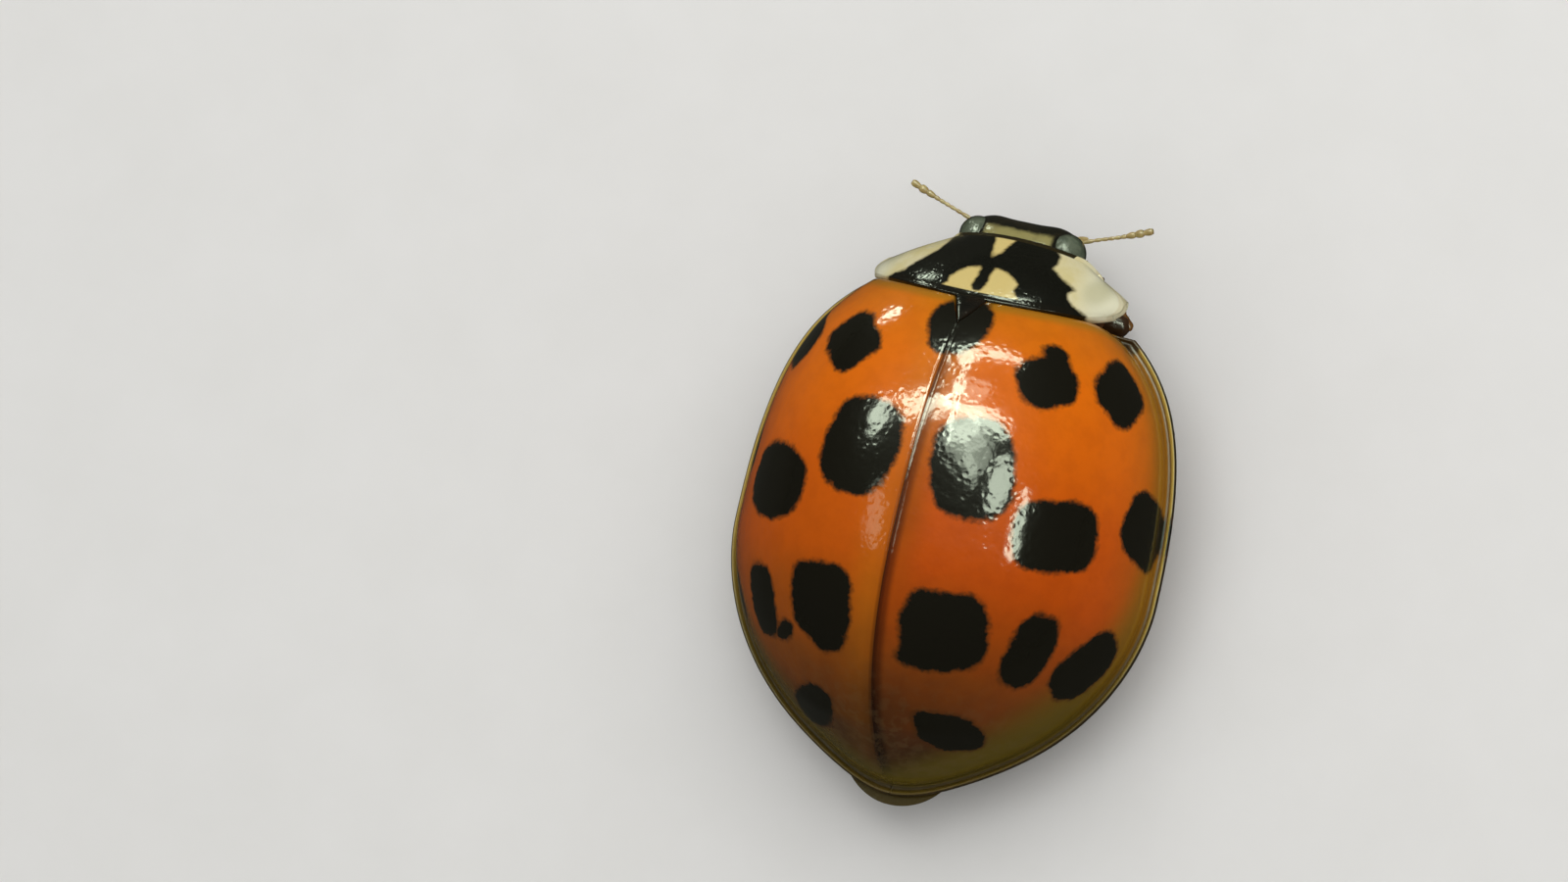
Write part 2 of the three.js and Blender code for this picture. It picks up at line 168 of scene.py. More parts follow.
# %% Mesh helpers
def ring_faces(rows, columns, flip=False):
    """Four-sided faces between neighbouring rings of points."""
    faces = []
    for here in range(0, (rows - 1) * columns, columns):
        there = here + columns
        for column in range(columns):
            beside = (column + 1) % columns
            face = (here + column, here + beside, there + beside, there + column)
            faces.append(face[::-1] if flip else face)
    return faces


def zip_cap(first, count, flip=False):
    """Closes a loop of points by joining its two long sides, one to the other, like a zip."""
    faces = []
    low, high = 0, count - 1
    while high - low > 2:
        faces.append((first + low, first + low + 1, first + high - 1, first + high))
        low += 1
        high -= 1
    if high - low == 2:
        faces.append((first + low, first + low + 1, first + high))
    return [face[::-1] for face in faces] if flip else faces


def zipped_faces(rows, columns, flip=False):
    """Faces of a closed body of rings whose two ends are zipped."""
    last = (rows - 1) * columns
    ends = zip_cap(0, columns, not flip) + zip_cap(last, columns, flip)
    return ring_faces(rows, columns, flip) + ends


def build_piece(name, points, faces, material, replaced, marks=None):
    """Makes a smooth mesh piece from body coordinates and hands it to the frame."""
    mesh = bpy.data.meshes.new(name)
    mesh.from_pydata(to_frame(points).tolist(), [], faces)
    for mark_name, values in (marks or {}).items():
        layer = mesh.attributes.new(mark_name, "FLOAT", "POINT")
        layer.data.foreach_set("value", np.asarray(values, np.float32))
    mesh.shade_smooth()
    mesh.materials.append(material)
    piece = bpy.data.objects.new(name, mesh)
    bpy.context.scene.collection.objects.link(piece)
    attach(piece, "root")
    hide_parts(*replaced)
    print(name, len(points), "points", len(faces), "faces")


def hump(value, width, power=2):
    """A soft hump, 1 high where the value is 0 and fading over the width."""
    return np.exp(-(np.abs(value / width) ** power))


print("a closed body of 4 rings of 6 points has", len(zipped_faces(4, 6)), "faces")

# %% [markdown]
# ## The vault of the wing cases
# Both wing cases lie on one vault. Its plan is a squarish oval that is longer ahead, where the neck
# shield covers its end, and its height falls from the middle to the rim along a rounded arch. The
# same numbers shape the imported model, so the fine mesh lies on the plain one.

# %% Measures of the vault
SEAM = 0.03  # the gap between the wing cases, and around every plate
VAULT_REAR = 2.53
VAULT_FRONT = 3.6
VAULT_RISE = 2.445
PLAN_REAR = 1.86  # exponents of the oval plan
PLAN_FRONT = 2.6
ARCH_RUN = 2.27
ARCH_RISE = 1.72
TIP_REACH = 0.067  # the tips at the seam reach this share further back
TIP_WIDTH = 0.87
SHOULDER_LEAD = 0.13  # the base leads towards the head, and comes back near the corner
SHOULDER_ROUND = 0.13
ROUND_FROM = 0.8
SHOULDER_TAPER = 0.1  # the corner is drawn in by this share
INSET_SHARE = 0.9  # the share of an inner sheet's depth by which its plan is smaller
RIM_HEIGHT = 1.05  # of the rim over the floor at the widest place
RIM_SLOPE = 0.063  # how much it falls for each millimetre towards the tail
RIM_BOW = 0.0093
LEAST_WIDTH = 0.002  # what is left of a row where the vault comes to its tip
TINY = 1e-6  # keeps a division away from zero
print("the vault is", VAULT_FRONT + VAULT_REAR, "mm long")


# %% The outline of the vault
def edge_height(y):
    """Height of the rim above the floor."""
    return RIM_HEIGHT - RIM_SLOPE * y + RIM_BOW * y * y


def plan_exponent(t):
    """The exponent of the oval plan, which is squarer ahead of the widest place."""
    return np.where(t < 0, PLAN_FRONT, PLAN_REAR)


def near_base(t):
    """0 at the widest place and behind it, 1 at the base of the wing cases."""
    return np.maximum(t * VAULT_FRONT / SCUTELLUM_BASE, 0)


def drawn_in(t):
    """The share of the width that is left where the shoulders draw in."""
    return 1 - SHOULDER_TAPER * near_base(t) ** 8


def plan_half(t, grow=0.0):
    """Half the width at a share t of the length, negative ahead, grown outwards."""
    exponent = plan_exponent(t)
    left = np.maximum(1 - np.abs(t) ** exponent, 0)
    return (HALF_WIDTH + grow) * left ** (1 / exponent) * drawn_in(t)


def plan_y(t, x, grow=0.0):
    """The y of the row t at a distance x from the seam."""
    behind = t * (VAULT_REAR + grow) * (1 + TIP_REACH * hump(x, TIP_WIDTH))
    share = x / np.maximum(plan_half(t, grow), TINY)
    corner = np.maximum(share - ROUND_FROM, 0) / (1 - ROUND_FROM)
    shift = SHOULDER_ROUND * corner**2 - SHOULDER_LEAD * share**2
    return np.where(t >= 0, behind, t * VAULT_FRONT + shift * near_base(t) ** 4)


print("the rim is", edge_height(0.0), "mm high at the widest place")


# %% Points on the vault
def rim_point(t, reach, height, least_x):
    """A point of the rim, so far out from the vault's foot and so high over the edge."""
    step = 1e-3
    foot = [np.stack([plan_half(p), plan_y(p, plan_half(p))], -1) for p in (t - step, t, t + step)]
    run = (foot[2] - foot[0]) / np.linalg.norm(foot[2] - foot[0], axis=-1, keepdims=True)
    ahead_x = foot[1][..., 0] + reach * run[..., 1]
    ahead_y = foot[1][..., 1] - reach * run[..., 0]
    x = np.where(t < 0, ahead_x, plan_half(t, reach))
    x = np.maximum(x, least_x)
    y = np.where(t < 0, ahead_y, plan_y(t, x, reach))
    return np.stack([x, y, edge_height(y) + height], -1)


def vault_point(t, across, start=SEAM / 2, inset=0.0):
    """A point of the vault at a share t along and a share across, inset by a depth."""
    shrink = -INSET_SHARE * inset
    half = np.maximum(plan_half(t, shrink), start + LEAST_WIDTH)
    x = start + (half - start) * np.sin(np.pi / 2 * across)
    y = plan_y(t, x, shrink)
    exponent = plan_exponent(t)
    width_share = x / ((HALF_WIDTH + shrink) * drawn_in(t))
    reach = (width_share**exponent + np.abs(t) ** exponent) ** (1 / exponent)
    depth = inset * np.where(t < 0, 1 + 2 * t * t, 1)
    dome = (1 - np.minimum(reach, 1) ** ARCH_RUN) ** (1 / ARCH_RISE)
    return np.stack([x, y, edge_height(y) + (VAULT_RISE - depth) * dome], -1)


print("top of the vault at", round(float(vault_point(0.0, 0.0)[2]), 3), "mm")

# %% [markdown]
# ## Where the dark spots lie
# This colour form has nineteen spots: nine on each wing case, and one that both share behind the
# neck shield. A spot is a squarish oval laid on the curved surface. It is stated by the place of
# its middle, its two half lengths, its turn, and an exponent that makes it squarer. How deep a
# point lies inside the nearest spot is kept on the mesh, and the material draws the edge from it.

# %% The spots of each wing case
# Each row: x and y of the middle, half lengths a and b, turn of a from straight outwards in
# degrees (positive towards the tail), and the exponent of the oval. Some spots take two or three
# ovals. The right side is no mirror image of the left one, but the rows run in the same order.
FAR = 9.0  # farther than any distance on the animal
SPOTS_LEFT = [
    (0.08, -2.56, 0.23, 0.4, 8, 2.2),  # shared spot at the neck shield
    (2.0, -2.19, 0.5, 0.33, -33, 2.8),  # shoulder
    (1.2, -2.13, 0.4, 0.33, -41, 3.4),  # inner front
    (0.67, -0.89, 0.57, 0.48, 86, 2.6),  # large inner
    (0.5, -0.6, 0.26, 0.24, 40, 2.6),
    (1.77, -0.33, 0.6, 0.43, -12, 2.4),  # outer middle
    (2.42, -0.8, 0.36, 0.36, 16, 3.0),  # at the rim
    (1.665, 1.04, 0.435, 0.3, 80, 2.8),  # outer rear
    (2.23, 0.95, 0.36, 0.36, 8, 2.3),  # rear, at the rim
    (0.77, 0.98, 0.43, 0.46, 0, 3.4),  # large rear
    (0.62, 1.32, 0.24, 0.21, 10, 2.6),
    (1.25, 1.36, 0.2, 0.1, 20, 2.0),  # bridge between the rear pair
    (0.88, 2.1, 0.5, 0.27, 17, 2.2),  # hindmost
]
SPOTS_RIGHT = [
    (0.12, -2.58, 0.26, 0.42, 6, 2.2),
    (1.92, -2.25, 0.39, 0.35, -46, 3.1),
    (1.23, -2.13, 0.36, 0.32, -28, 2.8),
    (1.2, -2.47, 0.15, 0.12, 0, 2.0),
    (0.73, -0.9, 0.59, 0.48, 75, 2.8),
    (1.75, -0.38, 0.56, 0.4, -13, 3.5),
    (2.45, -0.8, 0.48, 0.4, 16, 3.2),
    (1.68, 0.98, 0.48, 0.285, 88, 2.7),
    (2.17, 0.94, 0.5, 0.37, -60, 2.5),
    (0.79, 1.03, 0.51, 0.48, -14, 3.0),
    (0.51, 0.79, 0.18, 0.18, 0, 2.6),
    (0.47, 1.35, 0.18, 0.16, 0, 2.6),
    (0.85, 2.09, 0.55, 0.3, 9, 1.6),
]


def spot_depth(points, normals, spots, side):
    """How many millimetres each point lies inside the nearest spot; outside it is negative."""
    deepest = np.full(len(points), -FAR)
    buried = FAR * (normals[:, 2] < 0.05)  # the underside holds no middle of a spot
    for x, y, a, b, turn, exponent in spots:
        nearest = np.argmin((points[:, 0] - side * x) ** 2 + (points[:, 1] - y) ** 2 + buried)
        middle, normal = points[nearest], normals[nearest]
        tailward = np.array([0, 1, 0]) - normal * normal[1]
        tailward /= np.linalg.norm(tailward)
        outward = np.cross(tailward, normal)
        outward *= side * np.sign(outward[0])
        offset = points - middle
        u, v = offset @ outward, offset @ tailward
        angle = math.radians(turn)
        along = u * math.cos(angle) + v * math.sin(angle)
        beside = v * math.cos(angle) - u * math.sin(angle)
        reach = (np.abs(along / a) ** exponent + np.abs(beside / b) ** exponent) ** (1 / exponent)
        distance = np.sqrt(u * u + v * v)
        depth = distance * (1 - reach) / np.maximum(reach, TINY)
        depth = np.where(distance < TINY, min(a, b), np.minimum(depth, min(a, b)))
        facing = normals @ normal
        deepest = np.maximum(deepest, np.where(facing > -0.2, depth, -FAR))
    return deepest


print(len(SPOTS_LEFT), "ovals on the left wing case,", len(SPOTS_RIGHT), "on the right")

# %% [markdown]
# ## The skin of the beetle
# An insect's plates are chitin: a hard horny layer, hardened and coloured as it dries, with a thin
# film of wax on top. To the eye that is a deep colour under a clear gloss, so each plate gets a
# coat. Fine pits, each with a tiny hair root, cover it about a tenth of a millimetre apart. They
# break the reflection of a lamp into a sparkle, so they are worth drawing as bump.

# %% Waxed chitin
CHITIN_IOR = 1.45
CHITIN_GLOSS = 0.04  # low, because the wax over it does the shining
WAX_IOR = 1.5
PIT_SPACING = 0.09  # millimetres between the pits of a wing case
PIT_DEPTH = 0.0009
CREASE_SIZE = 0.13  # millimetres across the fine unevenness of the wax
CREASE_HEIGHT = 0.0019
SWELL_SIZE = 0.42  # millimetres across the low unevenness of the plates
SWELL_HEIGHT = 0.009


def pitted_surface(material, spacing, depth):
    """The bump of a plate: pits a given spacing apart over two sizes of unevenness."""
    place = add_node(material, "TexCoord", {}).outputs["Object"]
    cells = add_node(material, "TexVoronoi", {"Vector": place, "Scale": 1 / (spacing * MM)})
    inputs = {0: cells.outputs["Distance"], 1: 0.1, 2: 0.5}
    pits = add_node(material, "MapRange", inputs, interpolation_type="SMOOTHSTEP").outputs[0]
    swells = cloudy(material, SWELL_SIZE)
    creases = cloudy(material, CREASE_SIZE, offset=3.0)
    below = {}
    for height, rise in ((swells, SWELL_HEIGHT), (creases, CREASE_HEIGHT), (pits, depth)):
        inputs = {"Height": height, "Strength": 1.0, "Distance": rise * MM, **below}
        below = {"Normal": add_node(material, "Bump", inputs).outputs[0]}
    return below["Normal"]


def waxed(material, colour, normal, roughness, wax_roughness, wax=1.0, **more):
    """Gives a material the surface of chitin of this colour with a coat of wax."""
    horn = {"Base_Color": colour, "Roughness": roughness, "IOR": CHITIN_IOR, "Normal": normal}
    coat = {"Coat_Weight": wax, "Coat_Roughness": wax_roughness, "Coat_IOR": WAX_IOR}
    more = {"Specular_IOR_Level": CHITIN_GLOSS, "Coat_Normal": normal, **more}
    set_surface(material, **horn, **coat, **more)


print("chitin reflects", round(((CHITIN_IOR - 1) / (CHITIN_IOR + 1)) ** 2, 3), "head on")

# %% [markdown]
# ## The colour of the wing cases
# The wing case is orange where it is thin over pale tissue and browns towards the tail; part of
# that browning is painted shade, where the rear turns away from the light. The flat rim has no
# tissue under it and shows golden olive, with a dark outer edge. The flank darkens towards it,
# partly with painted shade, the raised bead on it carries a pale painted highlight, and the gutter
# beside the bead a dark line of painted shade. Painted shade falls along the seam, strong on the
# right wing case, and the left one gets a band of painted light instead. The spots are black
# pigment in the same chitin, with ragged edges and a narrow brown fringe. Colour along the body is
# a ramp over y; spots, rim and seam come from numbers kept on the mesh.

# %% Colour along the body
# The browning towards the tail is partly the wing case's own colour and partly painted shade, where
# the rear turns away from the light.
BODY_COLOURS_AND_SHADE = [  # y in millimetres from the widest place, and the colour there
    (-2.95, "#D37002"),
    (-2.2, "#E56E00"),
    (-1.4, "#E06700"),
    (-0.6, "#CD5600"),
    (0.3, "#BE4D01"),
    (0.9, "#A04604"),
    (1.5, "#7E3E0B"),
    (2.0, "#5C300D"),
    (2.4, "#442910"),
    (2.75, "#362512"),
]


def ragged(material, mark, *wanders):
    """A mark that wanders. Each wander is the size of its waves and their height from end to end."""
    for size, height in wanders:
        inputs = {0: cloudy(material, size), 3: -height / 2, 4: height / 2}
        shift = add_node(material, "MapRange", inputs).outputs[0]
        mark = add_node(material, "Math", {0: mark, 1: shift}).outputs[0]
    return mark


def body_colour_and_shade(material):
    """The colour of the wing case along the body, darkened towards the tail partly by painted shade.
    """
    (front, front_colour), (back, _) = BODY_COLOURS_AND_SHADE[0], BODY_COLOURS_AND_SHADE[-1]
    along = ragged(material, "along", (0.6, 0.5))
    share = add_node(material, "MapRange", {0: along, 1: front, 2: back}).outputs[0]
    node = add_node(material, "ValToRGB", {0: share})
    stops = node.color_ramp.elements
    stops.remove(stops[1])
    stops[0].color = linear(front_colour)
    for y, colour in BODY_COLOURS_AND_SHADE[1:]:
        stops.new((y - front) / (back - front)).color = linear(colour)
    return node.outputs[0]


print("wing case colours:", len(BODY_COLOURS_AND_SHADE))


# %% Wing case material
def make_wing_case_material():
    """Orange chitin with black spots, a golden rim and a dark seam, with painted shade and light,
    under wax.
    """
    material = new_material("waxed_orange_chitin")
    clouds = cloudy(material, 0.25, detail=4.0)
    blotches = cloudy(material, 0.14, detail=5.0, offset=7.0)
    # The rim's gold turns olive towards the tail; its green is partly a painted reflection of leaves.
    gold = pigment(material, "#94660C", "#605110", "along", -0.6, 1.7)
    # bead is the pale colour of a painted highlight along the raised bead, dimmer towards the tail
    bead = pigment(material, "#C2A548", "#6E5A1E", "along", -0.6, 1.7)
    spot = ragged(material, "spot", (0.19, 0.13), (0.045, 0.065))
    colour = body_colour_and_shade(material)
    # Each row: colour, mark, where it begins and is full, most, least, what holds it back, blend.
    for layer in (
        ("#8A3B05", clouds, 0.35, 0.7, 0.11, 0.0, None, "MULTIPLY"),  # faint clouds
        ("#D08A10", "seam", 0.6, 0.1, 0.26, 0.091, "glow"),  # painted light: a paler, yellower band by the seam on the left
        ("#989080", "seam", 0.16, 0.06, 0.85, 0.0, "dusk", "MULTIPLY"),  # painted shade along the seam
        ("#CCEFC0", "seam", 0.5, 0.08, 0.85, 0.0, "dusk_ahead", "MULTIPLY"),  # painted shade over its wide border, faintly green
        ("#989080", "seam", 0.06, 0.02, 0.6, 0.0, None, "MULTIPLY"),  # painted shade in the furrow
        ("#2C1607", "seam", 0.012, 0.003, 0.6),  # the joint itself
        (gold, "rim", 1.3, 0.4, 0.38),  # the flank turns golden towards the rim, partly as painted shade
        (gold, "soft_rim", 0.75, 0.26, 0.85),  # and the flat rim is gold
        ("#4A360A", "rim", 0.12, 0.095, 0.6),  # painted shade: a dark line in the gutter
        (bead, "rim", 0.066, 0.05),  # painted highlight: a pale line on the raised bead
        ("#33260C", "rim", 0.02, 0.008),  # the outer edge
        ("#A06E12", "base", 0.2, 0.05, 0.8),  # the edge under the neck shield
        ("#6A5636", blotches, 0.45, 0.62, 0.2, 0.0, "tail"),  # pale blotches on the tips
        ("#4A3210", "shoulder", 0.16, 0.1),  # the shoulder corner
        ("#4B2A0A", spot, -0.07, 0.0, 0.8),  # the fringe of the spots
        ("#17150C", spot, -0.02, 0.022),  # the spots
    ):
        colour = pigment(material, colour, *layer)
    inputs = {0: "rim", 1: 0.3, 2: 0.16, 3: 0.1, 4: 0.36}
    gloss = add_node(material, "MapRange", inputs, interpolation_type="SMOOTHSTEP").outputs[0]
    normal = pitted_surface(material, PIT_SPACING, PIT_DEPTH)
    waxed(material, colour, normal, roughness=0.42, wax_roughness=gloss)
    return material


wing_case_material = make_wing_case_material()

# %% [markdown]
# ## The wing cases
# A wing case is a thin curved shell. Its top is the vault, which runs out into a shallow gutter and
# a rounded bead at the rim. Under the rim a flat ledge turns inwards and holds the shell to the
# belly, and a last short sheet closes it inside. One loop of points goes round all of that at each
# place along the body, and the loops are joined into one closed shell.

# %% Wing case measures
CASE_ROWS = 300
CASE_COLUMNS = 150
SHELL_INSET = 0.3
INNER_COLUMNS = 16
SEAM_CROWDING = 0.93  # the columns stand closer together near the seam
RIDGE_START = 0.12  # from the seam out to here the cross ridge rises to its full height
# The rim: how far out from the vault's foot, and how high over the rim's height. It goes from the
# gutter over the bead and back under it to the ledge.
RIM_PROFILE = [
    (0.012, -0.012), (0.026, -0.017), (0.04, -0.016), (0.053, -0.009), (0.064, 0.004),
    (0.074, 0.02), (0.086, 0.031), (0.099, 0.035), (0.111, 0.029), (0.12, 0.014),
    (0.124, -0.004), (0.121, -0.024), (0.11, -0.042), (0.09, -0.055), (0.05, -0.066),
    (-0.02, -0.076), (-0.12, -0.082), (-0.24, -0.08), (-0.34, -0.072),
]
SEAM_GAP = 0.001  # the wing cases touch
BEAD_HEIGHT = 0.005  # each wing case has a fine bead along the seam, and a furrow beside it
BEAD_WIDTH = 0.012
FURROW_DEPTH = 0.002
FURROW_AT = 2.6 * BEAD_WIDTH
FILLET_PASSES = 14  # rounds the corner between vault and gutter
FILLET_COLUMNS = (-9, 3)  # from and up to which column around that corner
RIDGE_Y = 2.2  # the low cross ridge ahead of the tips
RIDGE_BOW = 0.16
RIDGE_HEIGHT = 0.035
RIDGE_WIDTH = 0.07
RIDGE_HALF_LENGTH = 1.3
HOLLOW_BEHIND = 0.2  # a hollow runs behind the ridge
HOLLOW_WIDTH = 0.13
HOLLOW_DEPTH = 0.028
NOTCH_TIP = -2.6  # the notch for the scutellum ends here
NOTCH_HALF = 0.2
print("points round the rim:", len(RIM_PROFILE))


# %% Wing case loops
def notch_half(y):
    """Half the width of the notch that the scutellum needs at a place along the seam."""
    share = (NOTCH_TIP - y) / (NOTCH_TIP - SCUTELLUM_BASE)
    return np.where(y < NOTCH_TIP, NOTCH_HALF * np.clip(share, 0, 1) ** 0.8, 0.0)


def wing_case_loops():
    """The loops of points round one wing case, and how far from the body's middle each starts."""
    front_t = SCUTELLUM_BASE / VAULT_FRONT
    share = np.linspace(0, 1, CASE_ROWS)
    t = (front_t + (1 - front_t) * (1 - (1 - share) ** 1.8))[:, None]
    even = np.linspace(0, 1, CASE_COLUMNS)[None, :]
    across = even - SEAM_CROWDING * even * (1 - even) ** 2
    notch = notch_half(t * VAULT_FRONT)
    start = np.maximum(SEAM_GAP / 2, notch + SEAM_GAP * (notch > 0))
    top = vault_point(t, across, start)
    x, y = top[..., 0], top[..., 1]
    from_ridge = y - RIDGE_Y + RIDGE_BOW * x * x
    ridge = RIDGE_HEIGHT * hump(from_ridge, RIDGE_WIDTH)
    hollow = HOLLOW_DEPTH * hump(from_ridge - HOLLOW_BEHIND, HOLLOW_WIDTH)
    top[..., 2] += (ridge - hollow) * hump(x, RIDGE_HALF_LENGTH, 4) * np.clip(x / RIDGE_START, 0, 1)
    from_seam = x - SEAM_GAP / 2
    top[..., 2] += BEAD_HEIGHT * hump(from_seam, BEAD_WIDTH)
    top[..., 2] -= FURROW_DEPTH * hump(from_seam - FURROW_AT, BEAD_WIDTH)
    rim = [rim_point(t, outward, height, start + LEAST_WIDTH) for outward, height in RIM_PROFILE]
    inner = vault_point(t, np.linspace(1, 0, INNER_COLUMNS)[None, :], start, SHELL_INSET)
    shell = np.concatenate([top, *rim, inner], axis=1)
    first, last = (CASE_COLUMNS + column for column in FILLET_COLUMNS)
    for _ in range(FILLET_PASSES):
        near = shell[:, first - 1 : last + 1]
        shell[:, first:last] = (near[:, :-2] + 2 * near[:, 1:-1] + near[:, 2:]) / 4
    return shell, start


print("each wing case has", CASE_ROWS, "loops")

# %% Wing case pieces
SIDES = {"left": 1, "right": -1}  # the sign of x on each side of the animal


def soft_step(value, low, high):
    """0 below low, 1 above high, and a soft step between them."""
    share = np.clip((value - low) / (high - low), 0, 1)
    return share * share * (3 - 2 * share)


def rim_distance(shell):
    """How far each point lies from the outer edge, measured over the surface."""
    rim = np.full(shell.shape[:2], MARGIN)
    run = np.linalg.norm(np.diff(shell[:, :CASE_COLUMNS], axis=1), axis=-1)
    rim[:, : CASE_COLUMNS - 1] += np.cumsum(run[:, ::-1], axis=1)[:, ::-1]
    outline = np.array([outward for outward, _ in RIM_PROFILE])
    rim[:, CASE_COLUMNS : CASE_COLUMNS + len(outline)] = np.maximum(MARGIN - outline, 0.0)
    return rim.ravel()


def make_wing_case(side_name, spots):
    """One wing case as a closed shell, with its marks."""
    side = SIDES[side_name]
    shell, start = wing_case_loops()
    rows, columns = shell.shape[:2]
    normals = np.cross(np.gradient(shell, axis=1), np.gradient(shell, axis=0))
    normals /= np.linalg.norm(normals, axis=-1, keepdims=True) + 1e-12
    points = shell.reshape(-1, 3) * [side, 1, 1]
    normals = normals.reshape(-1, 3) * [side, 1, 1]
    along = points[:, 1]
    rim = rim_distance(shell)
    base = np.linalg.norm(shell - shell[:1], axis=-1).ravel()
    # Painted shade falls on the seam: strong on the right wing case and hardly on the left,
    # which gets painted light instead.
    dusk = np.clip(0.5 - 0.5 * side + 0.12 * along, 0.1, 1.0)
    marks = {
        "spot": spot_depth(points, normals, spots, side),
        "rim": rim,
        "soft_rim": rim / (1 + 0.9 * soft_step(along, -0.6, 1.7)),
        "seam": (shell[..., 0] - start).ravel(),
        "base": base,
        "shoulder": np.maximum(base, 0.4 * rim),
        "along": along,
        "tail": soft_step(along, 1.3, 2.3),
        # dusk: how much painted shade falls by the seam
        "dusk": dusk,
        # dusk_ahead: the painted shade of the seam's wide border, fading out towards the tail
        "dusk_ahead": dusk * (1 - soft_step(along, -0.3, 1.2)),
        # glow: where the painted light by the seam lies, on the left wing case, fading towards the
        # tail
        "glow": (1 - dusk) * (1 - 0.7 * soft_step(along, 0.6, 2.2)),
    }
    faces = zipped_faces(rows, columns, flip=side < 0)
    name, node = "wing_case_" + side_name, "elytron_" + side_name
    build_piece(name, points, faces, wing_case_material, [node], marks)


make_wing_case("left", SPOTS_LEFT)
make_wing_case("right", SPOTS_RIGHT)

# %% [markdown]
# ## The neck shield
# The plate behind the head is cream with a black mark like an M. It is a broad, thin, arched plate
# with a rounded edge all round. Its outline tapers towards the head, and its side lobes are flat.
# Its section is a closed loop from the hind edge over the top, round the front edge and back below,
# and one such loop stands at each place across. The mark is drawn from three closed outlines.

# %% Neck shield marks
# Outlines of the black mark seen from above, x and y in body coordinates.
LOBE_LEFT = [
    (0.0, -3.44), (0.03, -3.58), (0.06, -3.72), (0.09, -3.84), (0.3, -3.95), (0.55, -3.88),
    (0.64, -3.74), (0.65, -3.63), (0.69, -3.51), (0.76, -3.41), (0.89, -3.29), (0.97, -3.17),
    (1.2, -3.05), (1.1, -2.9), (0.42, -2.9), (0.45, -3.02), (0.36, -3.1), (0.38, -3.18),
    (0.28, -3.28), (0.17, -3.35), (0.05, -3.39),
]
LOBE_RIGHT = [
    (-0.02, -3.48), (-0.1, -3.61), (-0.16, -3.75), (-0.2, -3.86), (-0.4, -3.95), (-0.63, -3.83),
    (-0.72, -3.74), (-0.74, -3.65), (-0.72, -3.56), (-0.81, -3.49), (-0.92, -3.43), (-1.07, -3.35),
    (-1.01, -3.29), (-1.03, -3.22), (-1.1, -3.14), (-1.26, -3.07), (-1.2, -2.9), (-0.6, -2.9),
    (-0.54, -3.06), (-0.44, -3.15), (-0.46, -3.24), (-0.41, -3.3), (-0.3, -3.36), (-0.19, -3.4),
    (-0.09, -3.4),
]
DASH = [
    (0.04, -3.46), (0.03, -3.26), (0.045, -3.12), (0.01, -3.06), (-0.06, -3.07), (-0.09, -3.14),
    (-0.095, -3.28), (-0.1, -3.44),
]


def outline_depth(points, outline):
    """How far each point lies inside a closed outline seen from above; outside is negative."""
    corners = np.array(outline)
    nearest = np.full(len(points), FAR)
    inside = np.zeros(len(points), bool)
    for start, end in zip(corners, np.roll(corners, -1, axis=0)):
        edge = end - start
        offset = points[:, :2] - start
        share = np.clip(offset @ edge / (edge @ edge), 0, 1)
        gap = np.linalg.norm(offset - share[:, None] * edge, axis=1)
        nearest = np.minimum(nearest, gap)
        crosses = (start[1] > points[:, 1]) != (end[1] > points[:, 1])
        rise = edge[1] if edge[1] else TINY
        meets = start[0] + (points[:, 1] - start[1]) / rise * edge[0]
        inside ^= crosses & (points[:, 0] < meets)
    return np.where(inside, nearest, -nearest)


def soft_union(depths, blend=0.03):
    """The depth inside any of several marks, with the corners between them rounded."""
    stack = np.stack(depths) / blend
    return blend * np.log(np.exp(np.clip(stack, -60, 60)).sum(axis=0))


print("outline corners:", len(LOBE_LEFT), len(LOBE_RIGHT), len(DASH))


# %% Neck shield material
def make_shield_material():
    """Cream chitin with black marks, a darker hind border and faintly grey side lobes."""
    material = new_material("waxed_cream_chitin")
    colour = pigment(material, "#D8CB92", "#E0D7AC", cloudy(material, 0.35, detail=3.0), 0.35, 0.7)
    colour = pigment(material, colour, "#E8E5C6", "lobe", 0.0, 0.3)
    inputs = {0: "patch", 6: colour, 7: "#B9B488"}
    colour = add_node(material, "Mix", inputs, data_type="RGBA").outputs[2]
    mark = ragged(material, "mark", (0.19, 0.05), (0.045, 0.025))
    for layer in (
        ("#D9C37C", "middle", 0.75, 0.3),  # a warmer middle
        ("#B39A55", "edge", 0.05, 0.03, 0.3),  # browner side edges
        ("#4E3B12", mark, -0.035, 0.0, 0.6),  # the fringe of the mark
        ("#13130C", mark, -0.014, 0.014),  # the mark
        ("#2B2410", "front", 0.014, 0.004),  # the front border
        ("#17140C", "hind", 0.085, 0.07),  # the hind border
    ):
        colour = pigment(material, colour, *layer)
    normal = pitted_surface(material, spacing=0.06, depth=0.0014)
    waxed(material, colour, normal, roughness=0.4, wax_roughness=0.12)
    return material


# %% Neck shield measures
SHIELD_HIND_Y = -2.96
SHIELD_FRONT_Y = -3.82
SHIELD_HIND_HALF = 1.48
SHIELD_FRONT_HALF = 0.95
SHIELD_BULGE = 0.2
SHIELD_SETBACK = 0.15  # the hind edge bends forwards to the sides
SHIELD_HOLLOW = 0.07  # and the front edge is a little hollow for the head
CORNER_FROM = 0.8  # where across the plate its corners start to round
CORNER_HIND = (0.08, 0.01)  # right and left: the plate is held a little crooked
CORNER_FRONT = (0.08, 0.15)
SHIELD_LEAN = -0.14  # the front is held a little to the right
SHIELD_CREST = (2.65, 1.98)  # height of the middle at the hind edge and at the front
SHIELD_FLANK = (1.76, 1.4)  # height of the sides there
SHIELD_THICKNESS = (0.5, 0.17)
SHIELD_COLUMNS = 220
SHIELD_ROWS = 110
SHIELD_UNDER_ROWS = 14
EDGE_STEPS = 6
